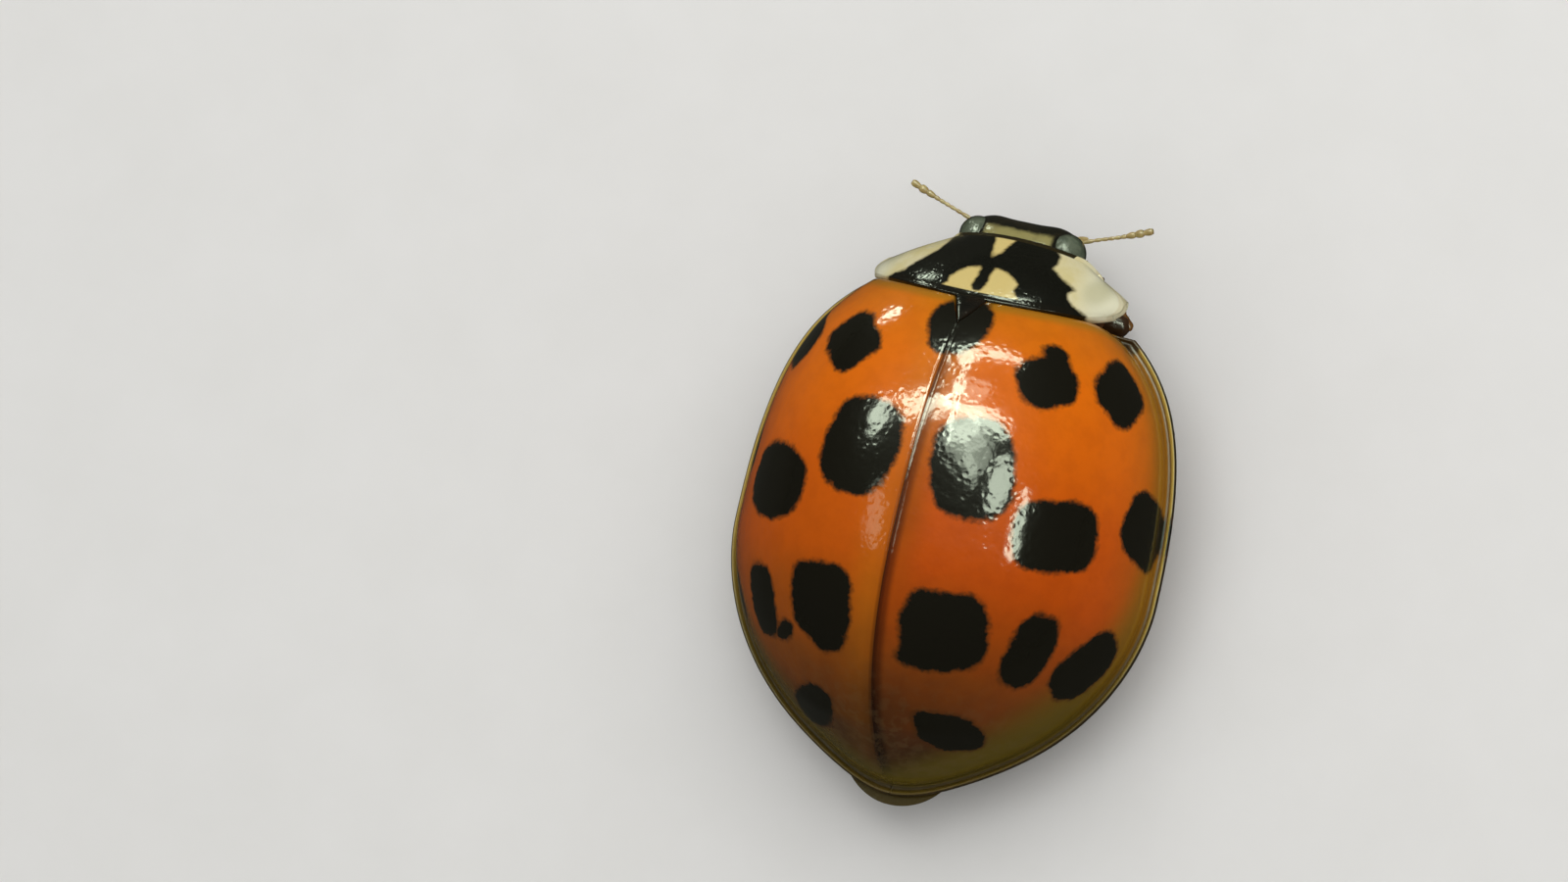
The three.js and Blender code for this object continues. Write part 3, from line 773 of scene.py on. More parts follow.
EDGE_ROUND = 0.045  # how far the front and hind edges bulge
END_ROUND = 0.05  # how far the side edges bulge
SIDE_BEAD = (0.02, 0.012)  # height, and width as a share of the half width
HIND_BEAD = (0.012, 0.03)  # height, and width as a share of the length
PATCH_AT = (1.27, -3.42)  # the grey patch on each side lobe
PATCH_SIZE = (0.14, 0.2)
PATCH_SHARE = 0.6
PALE_FROM = 1.02  # the side lobes are paler from this far out at PALE_Y
PALE_Y = -3.3
PALE_SLANT = 0.35  # and farther out towards the hind edge
BORDER_FROM = 0.74  # beyond this share across, the dark borders fade out
BORDER_FADE = 0.08
BORDER_LIFT = 0.2
print("the shield is", 2 * SHIELD_HIND_HALF, "mm wide at its hind edge")


# %% Neck shield sheets
def lerp(start, end, share):
    """The value at a share of the way from start to end."""
    return start + (end - start) * share


def shield_point(ahead, across, depth):
    """A point of the neck shield: ahead 0 to 1, across -1 to 1, depth 0 on top and 1 below."""
    bulge = SHIELD_BULGE * np.sin(np.pi * ahead**0.9)
    half = lerp(SHIELD_HIND_HALF, SHIELD_FRONT_HALF, ahead**1.1) + bulge
    corner = np.clip((np.abs(across) - CORNER_FROM) / (1 - CORNER_FROM), 0, 1) ** 2
    hind_cut = np.where(across < 0, *CORNER_HIND) * corner
    front_cut = np.where(across < 0, *CORNER_FRONT) * corner
    hind = SHIELD_HIND_Y - SHIELD_SETBACK * across**2 - hind_cut
    front = SHIELD_FRONT_Y + SHIELD_HOLLOW * across**2 + front_cut
    arch = np.maximum(1 - np.abs(across) ** 2.3, 0) ** 0.8
    middle = lerp(*SHIELD_CREST, ahead**1.25)
    thickness = lerp(*SHIELD_THICKNESS, ahead) * lerp(0.3, 1.0, arch)
    z = lerp(lerp(*SHIELD_FLANK, ahead), middle, arch) - depth * thickness
    x = half * across + SHIELD_LEAN * ahead
    return np.stack([x, lerp(hind, front, ahead), z], -1)


print("the shield's crest is", round(float(shield_point(0.0, 0.0, 0.0)[2]), 2), "mm high")


# %% Neck shield edges
def half_round(upper, lower, forward):
    """The half circle between the top and the underside at one end of the loop."""
    middle, reach = (upper + lower) / 2, (upper - lower) / 2
    angles = np.linspace(0, np.pi, EDGE_STEPS + 2)[1:-1]
    out = np.array([0, forward * EDGE_ROUND, 0])
    return [(middle + reach * math.cos(a) + out * math.sin(a))[:, None] for a in angles]


def side_round(end, outward):
    """The loops that round off the plate beyond its last loop at one side."""
    columns = len(end)
    partner = end[(SHIELD_ROWS - 1 - np.arange(columns)) % columns]
    spine = (end + partner) / 2
    loops = []
    for angle in np.linspace(0, np.pi / 2, EDGE_STEPS + 1)[1:-1]:
        loop = spine + (end - spine) * math.cos(angle)
        loop[:, 0] += outward * END_ROUND * math.sin(angle)
        loops.append(loop)
    return loops


print("each edge is rounded in", EDGE_STEPS, "steps")


# %% Neck shield piece
def make_shield():
    """The neck shield as one closed plate with rounded edges."""
    across = np.sin(np.linspace(-np.pi / 2, np.pi / 2, SHIELD_COLUMNS))[:, None]
    top_rows = np.linspace(0, 1, SHIELD_ROWS)[None, :]
    top = shield_point(top_rows, across, 0.0)
    under = shield_point(np.linspace(1, 0, SHIELD_UNDER_ROWS)[None, :], across, 1.0)
    top[..., 2] += SIDE_BEAD[0] * hump(1 - np.abs(across), SIDE_BEAD[1])
    top[..., 2] += HIND_BEAD[0] * hump(top_rows, HIND_BEAD[1])
    front_edge = half_round(top[:, -1], under[:, 0], -1)
    hind_edge = half_round(under[:, -1], top[:, 0], 1)
    plate = np.concatenate([top, *front_edge, under, *hind_edge], axis=1)
    plate = np.stack([*side_round(plate[0], -1)[::-1], *plate, *side_round(plate[-1], 1)])
    rows, columns = plate.shape[:2]
    points = plate.reshape(-1, 3)
    out, y = np.abs(points[:, 0]), points[:, 1]
    ends = [[end] * (EDGE_STEPS - 1) for end in (-1, 1)]
    across_all = np.concatenate([ends[0], across[:, 0], ends[1]])
    edges = shield_point(np.array([[0.0, 1.0]]), across_all[:, None], 0.0)[..., 1]
    spread = ((out - PATCH_AT[0]) / PATCH_SIZE[0]) ** 2 + ((y - PATCH_AT[1]) / PATCH_SIZE[1]) ** 2
    past_border = (np.abs(np.repeat(across_all, columns)) - BORDER_FROM) / BORDER_FADE
    lift = BORDER_LIFT * np.clip(past_border, 0, 1)
    marks = {
        "mark": soft_union([outline_depth(points, o) for o in (LOBE_LEFT, LOBE_RIGHT, DASH)]),
        "lobe": out - PALE_FROM - PALE_SLANT * (y - PALE_Y),
        "patch": PATCH_SHARE * hump(spread, 1.0),
        "middle": out,
        "edge": np.repeat(SHIELD_HIND_HALF * (1 - np.abs(across_all)), columns),
        "hind": np.repeat(edges[:, 0], columns) - y + lift,
        "front": y - np.repeat(edges[:, 1], columns) + lift,
    }
    faces = zipped_faces(rows, columns)
    material = make_shield_material()
    build_piece("neck_shield", points, faces, material, ["pronotum"], marks)


make_shield()

# %% [markdown]
# ## Black plates
# The scutellum, the head, the mouth plates and the breast are the same chitin with so much dark
# pigment that they look black. Thin places on the head stay yellowish brown.


# %% Black chitin
def make_black_material():
    """Near black chitin with a brown cast where it is thin, fine pits and wax."""
    material = new_material("waxed_black_chitin")
    colour = pigment(material, "#14120D", "#2A1E12", cloudy(material, 0.3, detail=3.0), 0.45, 0.8)
    normal = pitted_surface(material, spacing=0.055, depth=0.0016)
    waxed(material, colour, normal, roughness=0.42, wax_roughness=0.14)
    return material


black_material = make_black_material()

# %% [markdown]
# ## Scutellum
# A small black triangle fills the notch where the wing cases and the neck shield meet. It is a
# crowned plate whose sides run in to a point.

# %% Scutellum shape
SCUTELLUM_LAP = 0.04  # how far it reaches under the neck shield
SCUTELLUM_HALF = 0.19
SCUTELLUM_DEPTH = 0.12
SCUTELLUM_CROWN = 0.02


def make_scutellum():
    """The scutellum as a closed plate on the vault."""
    rows, columns = 24, 25
    share = np.linspace(0, 1, rows)[:, None]
    across = np.linspace(-1, 1, columns)[None, :]
    y = lerp(SCUTELLUM_BASE - SCUTELLUM_LAP, NOTCH_TIP, share) * np.ones_like(across)
    half = SCUTELLUM_HALF * np.maximum(1 - share**1.25, 0.02)
    dome = (1 - np.abs(y / VAULT_FRONT) ** ARCH_RUN) ** (1 / ARCH_RISE)
    crown = SCUTELLUM_CROWN * (1 - across**2 - np.abs(across) ** 6)
    top = np.stack([half * across, y, edge_height(y) + VAULT_RISE * dome + crown], -1)
    under = top[:, ::-1] - [0, 0, SCUTELLUM_DEPTH]
    points = np.concatenate([top, under], axis=1).reshape(-1, 3)
    faces = zipped_faces(rows, 2 * columns, flip=True)
    build_piece("scutellum_plate", points, faces, black_material, ["scutellum"])


make_scutellum()

# %% [markdown]
# ## Head
# The head is a broad capsule, squarish from above, tucked under the neck shield. Its face slopes
# forwards between two large eyes. Below it hang the upper lip and the jaws, and at each side a
# feeler of eleven joints that ends in a small club. The palps under the mouth end in a joint
# shaped like an axe head, which is a mark of the ladybird family.


# %% Round bodies
def pointed_faces(rows, columns):
    """Faces of a closed body of rings, with one more point at each end."""
    count = rows * columns
    last = count - columns
    faces = ring_faces(rows, columns)
    for column in range(columns):
        beside = (column + 1) % columns
        faces.append((beside, column, count))
        faces.append((last + column, last + beside, count + 1))
    return faces


def egg(at, radii, pitch=0.0, plan=2.0, rows=40, columns=64):
    """A closed oval body: its plan is an ellipse, or squarer if plan is over 2, tipped by pitch."""
    tilt = np.linspace(-np.pi / 2, np.pi / 2, rows)[1:-1, None]
    turn = np.linspace(0, 2 * np.pi, columns, endpoint=False)[None, :]
    reach = (np.abs(np.cos(turn)) ** plan + np.abs(np.sin(turn)) ** plan) ** (1 / plan)
    x = np.cos(tilt) * np.cos(turn) / reach * radii[0]
    y = np.cos(tilt) * np.sin(turn) / reach * radii[1]
    z = np.sin(tilt) * np.ones_like(turn) * radii[2]
    body = np.stack([x, y, z], -1).reshape(-1, 3)
    body = np.vstack([body, [0, 0, -radii[2]], [0, 0, radii[2]]])
    cos, sin = math.cos(pitch), math.sin(pitch)
    body = body @ np.array([[1, 0, 0], [0, cos, sin], [0, -sin, cos]])
    return body + np.asarray(at), pointed_faces(rows - 2, columns)


print("one ball of mesh has", len(egg((0, 0, 0), (1, 1, 1))[1]), "faces")


# %% Head material
def make_head_material():
    """Black chitin that turns pale yellowish brown on the face between the eyes."""
    material = new_material("waxed_face_chitin")
    clouds = cloudy(material, 0.2, detail=3.0)
    dark = pigment(material, "#1B1A10", "#2B2415", clouds, 0.4, 0.75)
    pale = pigment(material, "#989058", "#7F7748", clouds, 0.4, 0.75)
    face = ragged(material, "face", (0.19, 0.05), (0.045, 0.025))
    colour = pigment(material, dark, pale, face, -0.03, 0.03)
    normal = pitted_surface(material, spacing=0.05, depth=0.0014)
    waxed(material, colour, normal, roughness=0.4, wax_roughness=0.16)
    return material


# %% Head shape
HEAD_SIDE = -0.05  # the head is held a little to the right
HEAD_AT = np.array([HEAD_SIDE, -3.63, 1.25])
HEAD_RADII = (0.76, 0.58, 0.46)
HEAD_PITCH = 0.4
HEAD_PLAN = 3.6
FACE_FLAT = 0.035  # how far the face is pressed in
FLAT_HALF = 0.33
LIP_GROOVE = 0.02  # depth of the groove over the upper lip
GROOVE_Z = -0.12
GROOVE_WIDTH = 0.022
GROOVE_HALF = 0.42
FACE_HALF = 0.42  # half the width of the pale face
FACE_BELOW = -0.11  # its lower edge, from the middle of the head
FACE_TO = 0.66  # and how far forwards it reaches, as a share of the head's half length


def make_head():
    """The head capsule with a flattened face, a lip groove and a pale band between the eyes."""
    points, faces = egg(HEAD_AT, HEAD_RADII, HEAD_PITCH, HEAD_PLAN, rows=90, columns=160)
    x, y, z = (points - HEAD_AT).T
    forward = np.clip(-y / HEAD_RADII[1], 0, 1)
    points[:, 1] += FACE_FLAT * hump(x, FLAT_HALF, 4) * forward**3
    groove = hump(z - GROOVE_Z, GROOVE_WIDTH) * hump(x, GROOVE_HALF, 6) * forward
    points[:, 1] += LIP_GROOVE * groove
    inside = np.minimum(FACE_HALF - np.abs(x), z - FACE_BELOW)
    marks = {"face": np.minimum(inside, 0.5 * (FACE_TO - forward))}
    build_piece("head_capsule", points, faces, make_head_material(), ["head"], marks)


make_head()


# %% Tubes
def smooth_path(points, count):
    """A curve through the given points (Catmull-Rom), as count evenly numbered places."""
    knots = np.asarray(points, float)
    knots = np.vstack([2 * knots[0] - knots[1], knots, 2 * knots[-1] - knots[-2]])
    spans = len(knots) - 3
    places = np.linspace(0, spans, count)
    span = np.minimum(places.astype(int), spans - 1)
    t = (places - span)[:, None]
    before, here, there, after = (knots[span + i] for i in range(4))
    bend = (2 * before - 5 * here + 4 * there - after) * t**2
    twist = (-before + 3 * here - 3 * there + after) * t**3
    return (2 * here + (there - before) * t + bend + twist) / 2


def tube(path, widths, heights, sides=20, up=(0, 0, 1)):
    """A closed tube along a path. Its rings are ovals, width across and height along up."""
    path = np.asarray(path, float)
    ahead = np.gradient(path, axis=0)
    ahead /= np.linalg.norm(ahead, axis=1, keepdims=True)
    across = np.cross(np.broadcast_to(up, ahead.shape), ahead)
    across /= np.linalg.norm(across, axis=1, keepdims=True)
    above = np.cross(ahead, across)
    turn = np.linspace(0, 2 * np.pi, sides, endpoint=False)
    half_widths = np.asarray(widths, float)[:, None, None] / 2
    half_heights = np.asarray(heights, float)[:, None, None] / 2
    side_part = across[:, None, :] * half_widths * np.cos(turn)[None, :, None]
    above_part = above[:, None, :] * half_heights * np.sin(turn)[None, :, None]
    rings = path[:, None, :] + side_part + above_part
    points = np.vstack([rings.reshape(-1, 3), path[0], path[-1]])
    return points, pointed_faces(len(path), sides)


def join_shapes(shapes):
    """Puts several (points, faces) shapes into one."""
    points = []
    faces = []
    total = 0
    for shape_points, shape_faces in shapes:
        points.append(shape_points)
        faces.extend(tuple(corner + total for corner in face) for face in shape_faces)
        total += len(shape_points)
    return np.vstack(points), faces


print("one tube of 4 rings with 6 sides has", len(pointed_faces(4, 6)), "faces")


# %% Mouth plates
LIP_AT = (HEAD_SIDE, -4.0, 1.03)
LIP_RADII = (0.3, 0.14, 0.1)
LIP_PITCH = 0.9
LIP_PLAN = 3.0
JAW_BEND = [(0.26, -3.92, 0.98), (0.24, -4.03, 0.9), (0.13, -4.08, 0.84), (0.03, -4.07, 0.82)]
JAW_WIDTH, JAW_HEIGHT = 0.13, 0.1


def make_mouth():
    """The upper lip, with the tips of the jaws below it."""
    shapes = [egg(LIP_AT, LIP_RADII, LIP_PITCH, LIP_PLAN, rows=30, columns=60)]
    taper = np.linspace(1, 0.15, 20) ** 0.7
    for side in (-1, 1):
        path = smooth_path([(HEAD_SIDE + side * x, y, z) for x, y, z in JAW_BEND], 20)
        shapes.append(tube(path, JAW_WIDTH * taper, JAW_HEIGHT * taper, 14))
    points, faces = join_shapes(shapes)
    build_piece("upper_lip_and_jaws", points, faces, black_material, ["labrum"])


make_mouth()

# %% [markdown]
# ## Eyes
# A beetle's eye is a dome of many hundred lenses, each about two hundredths of a millimetre
# across. From a distance it is a dark bead with a soft gloss, and its grey is a painted sheen,
# paler where it faces the camera. The lenses are drawn as bump.

# %% Eye material and shape
LENS_WIDTH = 0.026  # millimetres from lens to lens
LENS_HEIGHT = 0.0025


def make_eye_material():
    """Dark faceted cornea, whose greyish colour is a painted sheen that darkens towards its edges."""
    material = new_material("faceted_cornea")
    place = add_node(material, "TexCoord", {}).outputs["Object"]
    lenses = add_node(material, "TexVoronoi", {"Vector": place, "Scale": 1 / (LENS_WIDTH * MM)})
    inputs = {0: lenses.outputs["Distance"], 1: 0.6, 2: 0.0}
    domes = add_node(material, "MapRange", inputs, interpolation_type="SMOOTHSTEP").outputs[0]
    colour = pigment(material, "#4E5847", "#636C58", cloudy(material, 0.12), 0.35, 0.65)
    # painted sheen: the eye is greyer where it faces the camera and darker where it turns away
    turned = add_node(material, "LayerWeight", {"Blend": 0.4}).outputs["Facing"]
    colour = pigment(material, colour, "#23281C", turned, 0.35, 0.8)
    inputs = {"Height": domes, "Strength": 1.0, "Distance": LENS_HEIGHT * MM}
    normal = add_node(material, "Bump", inputs).outputs[0]
    waxed(material, colour, normal, roughness=0.35, wax_roughness=0.2)
    return material


eye_material = make_eye_material()
for side_name in SIDES:
    node = "eye_" + side_name
    low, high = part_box(node)
    points, faces = egg(body_middle(node), np.array(high - low) / 2 / MM, rows=60, columns=90)
    build_piece("eye_dome_" + side_name, points, faces, eye_material, [node])


# %% [markdown]
# ## Feelers and palps
# The horn here is thin and pale, so it lets some light through. Each feeler is one tube whose
# width swells and narrows once for each joint.


# %% Thin horn
def make_feeler_material():
    """Thin yellowish brown horn, darker at the joints, with a soft gloss."""
    material = new_material("thin_pale_horn")
    colour = pigment(material, "#B9A66C", "#A08A52", cloudy(material, 0.08, detail=3.0), 0.3, 0.7)
    colour = pigment(material, colour, "#5A4222", "joint", 0.5, 1.0, 0.7)
    grain = cloudy(material, 0.02)
    inputs = {"Height": grain, "Strength": 1.0, "Distance": 0.0012 * MM}
    normal = add_node(material, "Bump", inputs).outputs[0]
    glow = {"Subsurface_Weight": 0.15, "Subsurface_Scale": 0.05 * MM}
    waxed(material, colour, normal, roughness=0.45, wax_roughness=0.3, **glow)
    return material


feeler_material = make_feeler_material()

# %% Feelers
FEELER_LENGTHS = [2.0, 1.1, 1.6, 1.1, 1.0, 0.9, 0.9, 0.85, 1.2, 1.1, 1.3]  # shares of the length
FEELER_WIDTHS = [0.09, 0.07, 0.052, 0.048, 0.048, 0.048, 0.05, 0.055, 0.08, 0.1, 0.085]
FEELER_PATH = [(0.46, -3.98, 1.06), (0.8, -4.12, 1.03), (1.15, -4.24, 1.03), (1.52, -4.38, 1.06)]
FEELER_RINGS = 180
FEELER_SIDES = 16
PALP_STALK = [(0.3, -3.88, 0.86), (0.42, -4.0, 0.76), (0.46, -4.1, 0.66)]
PALP_BLADE = [(0.46, -4.1, 0.66), (0.47, -4.15, 0.58), (0.46, -4.19, 0.5)]
PALP_WIDTH = 0.08
BLADE_SPREAD = 0.14  # how much broader the axe-shaped joint is at its end


def make_feeler(side_name):
    """One feeler: eleven joints, of which the last three are the club."""
    bounds = np.cumsum([0, *FEELER_LENGTHS]) / sum(FEELER_LENGTHS)
    stations = np.linspace(0, 1, FEELER_RINGS)
    joint = np.minimum(np.searchsorted(bounds, stations, side="right") - 1, len(FEELER_WIDTHS) - 1)
    within = (stations - bounds[joint]) / (bounds[joint + 1] - bounds[joint])
    swelling = 0.62 + 0.38 * np.sin(np.pi * np.clip(within, 0.03, 0.97) ** 1.4) ** 0.6
    widths = np.array(FEELER_WIDTHS)[joint] * swelling
    bases = np.array(FEELER_PATH) * [SIDES[side_name], 1, 1]
    bases[0, 0] += HEAD_SIDE
    path = smooth_path(bases, FEELER_RINGS)
    points, faces = tube(path, widths, widths * 0.9, FEELER_SIDES)
    narrow = np.repeat(1 - np.sin(np.pi * within) ** 0.5, FEELER_SIDES)
    marks = {"joint": np.append(narrow, [1, 0])}
    name, node = "feeler_" + side_name, "antenna_" + side_name
    build_piece(name, points, faces, feeler_material, [node], marks)


def make_palp(side_name):
    """One jaw palp: three joints and the axe-shaped last one."""
    stalk, blade = smooth_path(PALP_STALK, 60), smooth_path(PALP_BLADE, 24)
    path = np.vstack([stalk, blade[1:]]) * [SIDES[side_name], 1, 1] + [HEAD_SIDE, 0, 0]
    share = np.linspace(0, 1, len(path))
    round_joints = PALP_WIDTH + 0.02 * np.sin(share * 6 * np.pi) ** 2
    spread = np.clip((share - 0.7) / 0.3, 0, 1) ** 0.8
    end = np.clip((1 - share) / 0.03, 0.25, 1) ** 0.5
    widths = (round_joints + BLADE_SPREAD * spread) * end
    heights = (round_joints - 0.02 * spread) * end
    points, faces = tube(path, widths, heights, 18)
    marks = {"joint": np.zeros(len(points))}
    name, node = "jaw_palp_" + side_name, "palp_" + side_name
    build_piece(name, points, faces, feeler_material, [node], marks)


for side_name in SIDES:
    make_feeler(side_name)
    make_palp(side_name)


# %% [markdown]
# ## Underside
# Below, the beetle is a set of broad black and brown plates: the breast, which carries the middle
# and hind legs, and five belly rings, each of which laps over the next like a roof tile. Each set
# is one skin. The last ring reaches a little past the wing cases as a flat lip.


# %% Underside material
def make_belly_material():
    """Brown chitin, darker towards the middle, with fine pits and little wax."""
    material = new_material("brown_belly_chitin")
    colour = pigment(material, "#6A3C17", "#55300F", cloudy(material, 0.3, detail=4.0), 0.3, 0.7)
    colour = pigment(material, colour, "#2A1A0D", "middle", 1.3, 0.2)
    colour = pigment(material, colour, "#4A3B0E", "lip", 0.0, 0.2)
    normal = pitted_surface(material, spacing=0.06, depth=0.0025)
    waxed(material, colour, normal, roughness=0.5, wax_roughness=0.28, wax=0.5)
    return material


belly_material = make_belly_material()

# %% Breast and belly
CHEST_FROM = -2.86
CHEST_TO = -0.72
CHEST_JOINT = -1.75
BELLY_JOINTS = [-0.72, 0.3, 0.98, 1.56, 2.02]
LIP_FROM = 2.4
TAIL_TO = 2.94
TAIL_HALF = 0.8
TRUNK_INSET = 0.47  # how far the trunk stays inside the vault's foot
TRUNK_COLUMNS = 81
BELLY_EDGE_DROP = 0.11
BELLY_MIDDLE_DROP = 0.24
TAIL_SHEET = 0.06  # how far the edge of the lip lies below the rim's height
LAP_DEPTH = 0.0315
LAP_FADE = 0.1
MID_GROOVE = 0.02  # a fine groove along the middle of the breast
MID_GROOVE_WIDTH = 0.025
MID_GROOVE_FROM = -1.7


def trunk_skin(places, joints):
    """A closed skin under the wing cases through the given places, with a lap at each joint."""
    turn = np.linspace(-np.pi / 2, np.pi / 2, TRUNK_COLUMNS)[None, :]
    y = places[:, None] * np.ones_like(turn)
    half = plan_half(y / np.where(y < 0, VAULT_FRONT, VAULT_REAR), -TRUNK_INSET)
    past_tip = np.clip((y - BELLY_JOINTS[-1]) / (TAIL_TO - BELLY_JOINTS[-1]), 0, 1)
    tail_half = TAIL_HALF * np.sqrt(np.maximum(1 - past_tip**2, 0.0))
    half = np.where(y > BELLY_JOINTS[-1], np.maximum(half * (1 - past_tip), tail_half), half)
    outward = np.sin(turn)
    drop = lerp(BELLY_MIDDLE_DROP, BELLY_EDGE_DROP, np.abs(outward) ** 2.4)
    drop = drop + TAIL_SHEET * past_tip * (1 - np.abs(outward) ** 2)
    for joint in joints:
        behind = y - joint
        drop = drop - LAP_DEPTH * np.exp(-np.clip(behind, 0, FAR) / LAP_FADE) * (behind > 0)
    sheet = lerp(TAIL_SHEET, drop, np.sqrt(np.clip(1 - past_tip**6, 0, 1)))
    bottom = np.stack([half * outward, y, edge_height(y) - sheet], -1)
    height = np.where(y > BELLY_JOINTS[-1] + 0.3, -TAIL_SHEET, 0.1)
    top = np.stack([half * outward, y, edge_height(y) + height], -1)[:, ::-1]
    ring = np.concatenate([bottom, top], axis=1)
    return ring.reshape(-1, 3), zipped_faces(*ring.shape[:2])


def make_underside():
    """The breast with its middle groove, and the belly rings."""
    points, faces = trunk_skin(np.linspace(CHEST_FROM, CHEST_TO, 90), [CHEST_JOINT])
    x, y, z = points.T
    groove = hump(x, MID_GROOVE_WIDTH) * (y > MID_GROOVE_FROM) * (z < edge_height(y))
    points[:, 2] += MID_GROOVE * groove
    build_piece("breast", points, faces, black_material, ["thorax"])
    share = np.linspace(0, 1, 220)
    places = lerp(CHEST_TO + SEAM, TAIL_TO, 1 - (1 - share) ** 1.3)
    points, faces = trunk_skin(places, BELLY_JOINTS[1:])
    rings = [f"abdomen_{i}" for i in range(1, 6)]
    marks = {"middle": np.abs(points[:, 0]), "lip": points[:, 1] - LIP_FROM}
    build_piece("belly_rings", points, faces, belly_material, rings, marks)


make_underside()

# %% Plate under the neck shield
FORE_FROM, FORE_TO = 0.04, 0.86  # shares of the neck shield's length that it lies under
FORE_HALF = 0.8  # and the share of its half width
FORE_UNDER = 0.7  # its top lies at this share of the shield's thickness
KEEL_AT = 0.09  # two low keels stand this share beside the middle
KEEL_WIDTH = 0.02
KEEL_HEIGHT = 0.03


def make_fore_breast():
    """The fore breast between the neck shield and the front legs."""
    rows, columns = 40, 60
    ahead = np.linspace(FORE_FROM, FORE_TO, rows)[:, None]
    across = np.linspace(-FORE_HALF, FORE_HALF, columns)[None, :]
    roof = shield_point(ahead, across, FORE_UNDER)
    out = np.abs(across / FORE_HALF)
    keel = KEEL_HEIGHT * hump(np.abs(across) - KEEL_AT, KEEL_WIDTH)
    bottom = lerp(0.86, 1.06, out**2) + 0.1 * out**8 - keel
    base = np.stack([roof[..., 0], roof[..., 1], bottom * np.ones_like(ahead)], -1)
    points = np.concatenate([roof, base[:, ::-1]], axis=1).reshape(-1, 3)
    faces = zipped_faces(rows, 2 * columns, flip=True)
    marks = {"middle": np.abs(points[:, 0]), "lip": points[:, 1]}
    build_piece("fore_breast", points, faces, belly_material, ["prothorax"], marks)


make_fore_breast()

# %% [markdown]
# ## Legs
# Each leg has a hip plate, a thigh that is flattened so that it folds into the underside, a slender
# shin with fine bristles, and a foot of three visible joints with two hooked claws. The packed
# model has thick plain limbs in the same places; the true ones lie inside them and meet the floor
# at the same points. Every joint is its own tube, and the tubes of one leg are joined into a piece.


# %% Leg material
def make_leg_material():
    """Reddish brown chitin, darker on hip and thigh, with fine pits."""
    material = new_material("brown_leg_chitin")
    colour = pigment(material, "#7A5224", "#5C3B19", cloudy(material, 0.15, detail=3.0), 0.3, 0.7)
    colour = pigment(material, colour, "#33200F", "dark", 0.1, 0.9)
    normal = pitted_surface(material, spacing=0.045, depth=0.0016)
    waxed(material, colour, normal, roughness=0.45, wax_roughness=0.22)
    return material


leg_material = make_leg_material()

# %% Leg plans
# The bending points of each left leg in body coordinates, and how far each foot is moved from there.
LEGS = {
    "front": {
        "coxa": ((0.42, -3.28, 0.84), (0.28, 0.22, 0.18)),
        "hip": (0.62, -3.26, 0.64),
        "knee": (1.46, -3.24, 0.68),
        "ankle": (0.98, -3.66, 0.3),
        "toe": (0.66, -3.92, 0.08),
        "shift": {"left": (0.04, -0.02), "right": (-0.08, 0.03)},
    },
    "middle": {
        "coxa": ((0.8, -2.05, 0.8), (0.34, 0.27, 0.2)),
        "hip": (1.02, -2.06, 0.62),
        "knee": (1.94, -2.26, 0.68),
        "ankle": (2.0, -1.5, 0.3),
        "toe": (2.02, -0.98, 0.08),
        "shift": {"left": (0.03, -0.05), "right": (0.0, 0.06)},
    },
    "hind": {
        "coxa": ((0.74, -0.62, 0.78), (0.5, 0.24, 0.19)),
        "hip": (1.04, -0.52, 0.58),
        "knee": (2.0, 0.1, 0.57),
        "ankle": (1.74, 0.9, 0.3),
        "toe": (1.48, 1.34, 0.08),
        "shift": {"left": (0.02, 0.06), "right": (0.0, -0.05)},
    },
}
print("legs:", ", ".join(LEGS), "on each side")


# %% Thorns, thighs and shins
THIGH_WIDTH, THIGH_HEIGHT = 0.36, 0.28
SHIN_WIDTH = 0.19


def thorn(root, tip, width, sides=5):
    """A short cone from its root to its tip, for bristles and claws."""
    root, tip = np.asarray(root, float), np.asarray(tip, float)
    path = np.linspace(root, tip, 4)
    taper = np.array([1.0, 0.75, 0.45, 0.08]) * width
    steep = abs((tip - root)[2]) > 0.9 * np.linalg.norm(tip - root)
    return tube(path, taper, taper, sides, (1, 0, 0) if steep else (0, 0, 1))


def make_thigh(hip, knee):
    """A flattened club that is widest past its middle."""
    path = smooth_path([hip, lerp(hip, knee, 0.5) + [0, 0, 0.02], knee], 40)
    share = np.linspace(0, 1, 40)
    form = (0.45 + 0.55 * np.sin(np.pi * share**0.85) ** 0.7) * np.clip(share * 14, 0.3, 1)
    form *= np.sqrt(np.clip((1 - share) * 12, 0.02, 1))
    return tube(path, THIGH_WIDTH * form, THIGH_HEIGHT * form, 26)


def make_shin(knee, ankle):
    """A slender shin that widens from the knee and has a cut end, and its path."""
    path = smooth_path([knee, lerp(knee, ankle, 0.5) + [0, 0, 0.04], ankle], 40)
    share = np.linspace(0, 1, 40)
    form = (0.62 + 0.38 * share**0.7) * np.sqrt(np.clip(share * 16, 0.1, 1))
    form *= np.sqrt(np.clip((1 - share) * 25, 0.05, 1))
    return tube(path, SHIN_WIDTH * form, SHIN_WIDTH * 0.85 * form, 20), path


print("one thorn has", len(thorn((0, 0, 0), (0, 0, 1), 0.1)[1]), "faces")

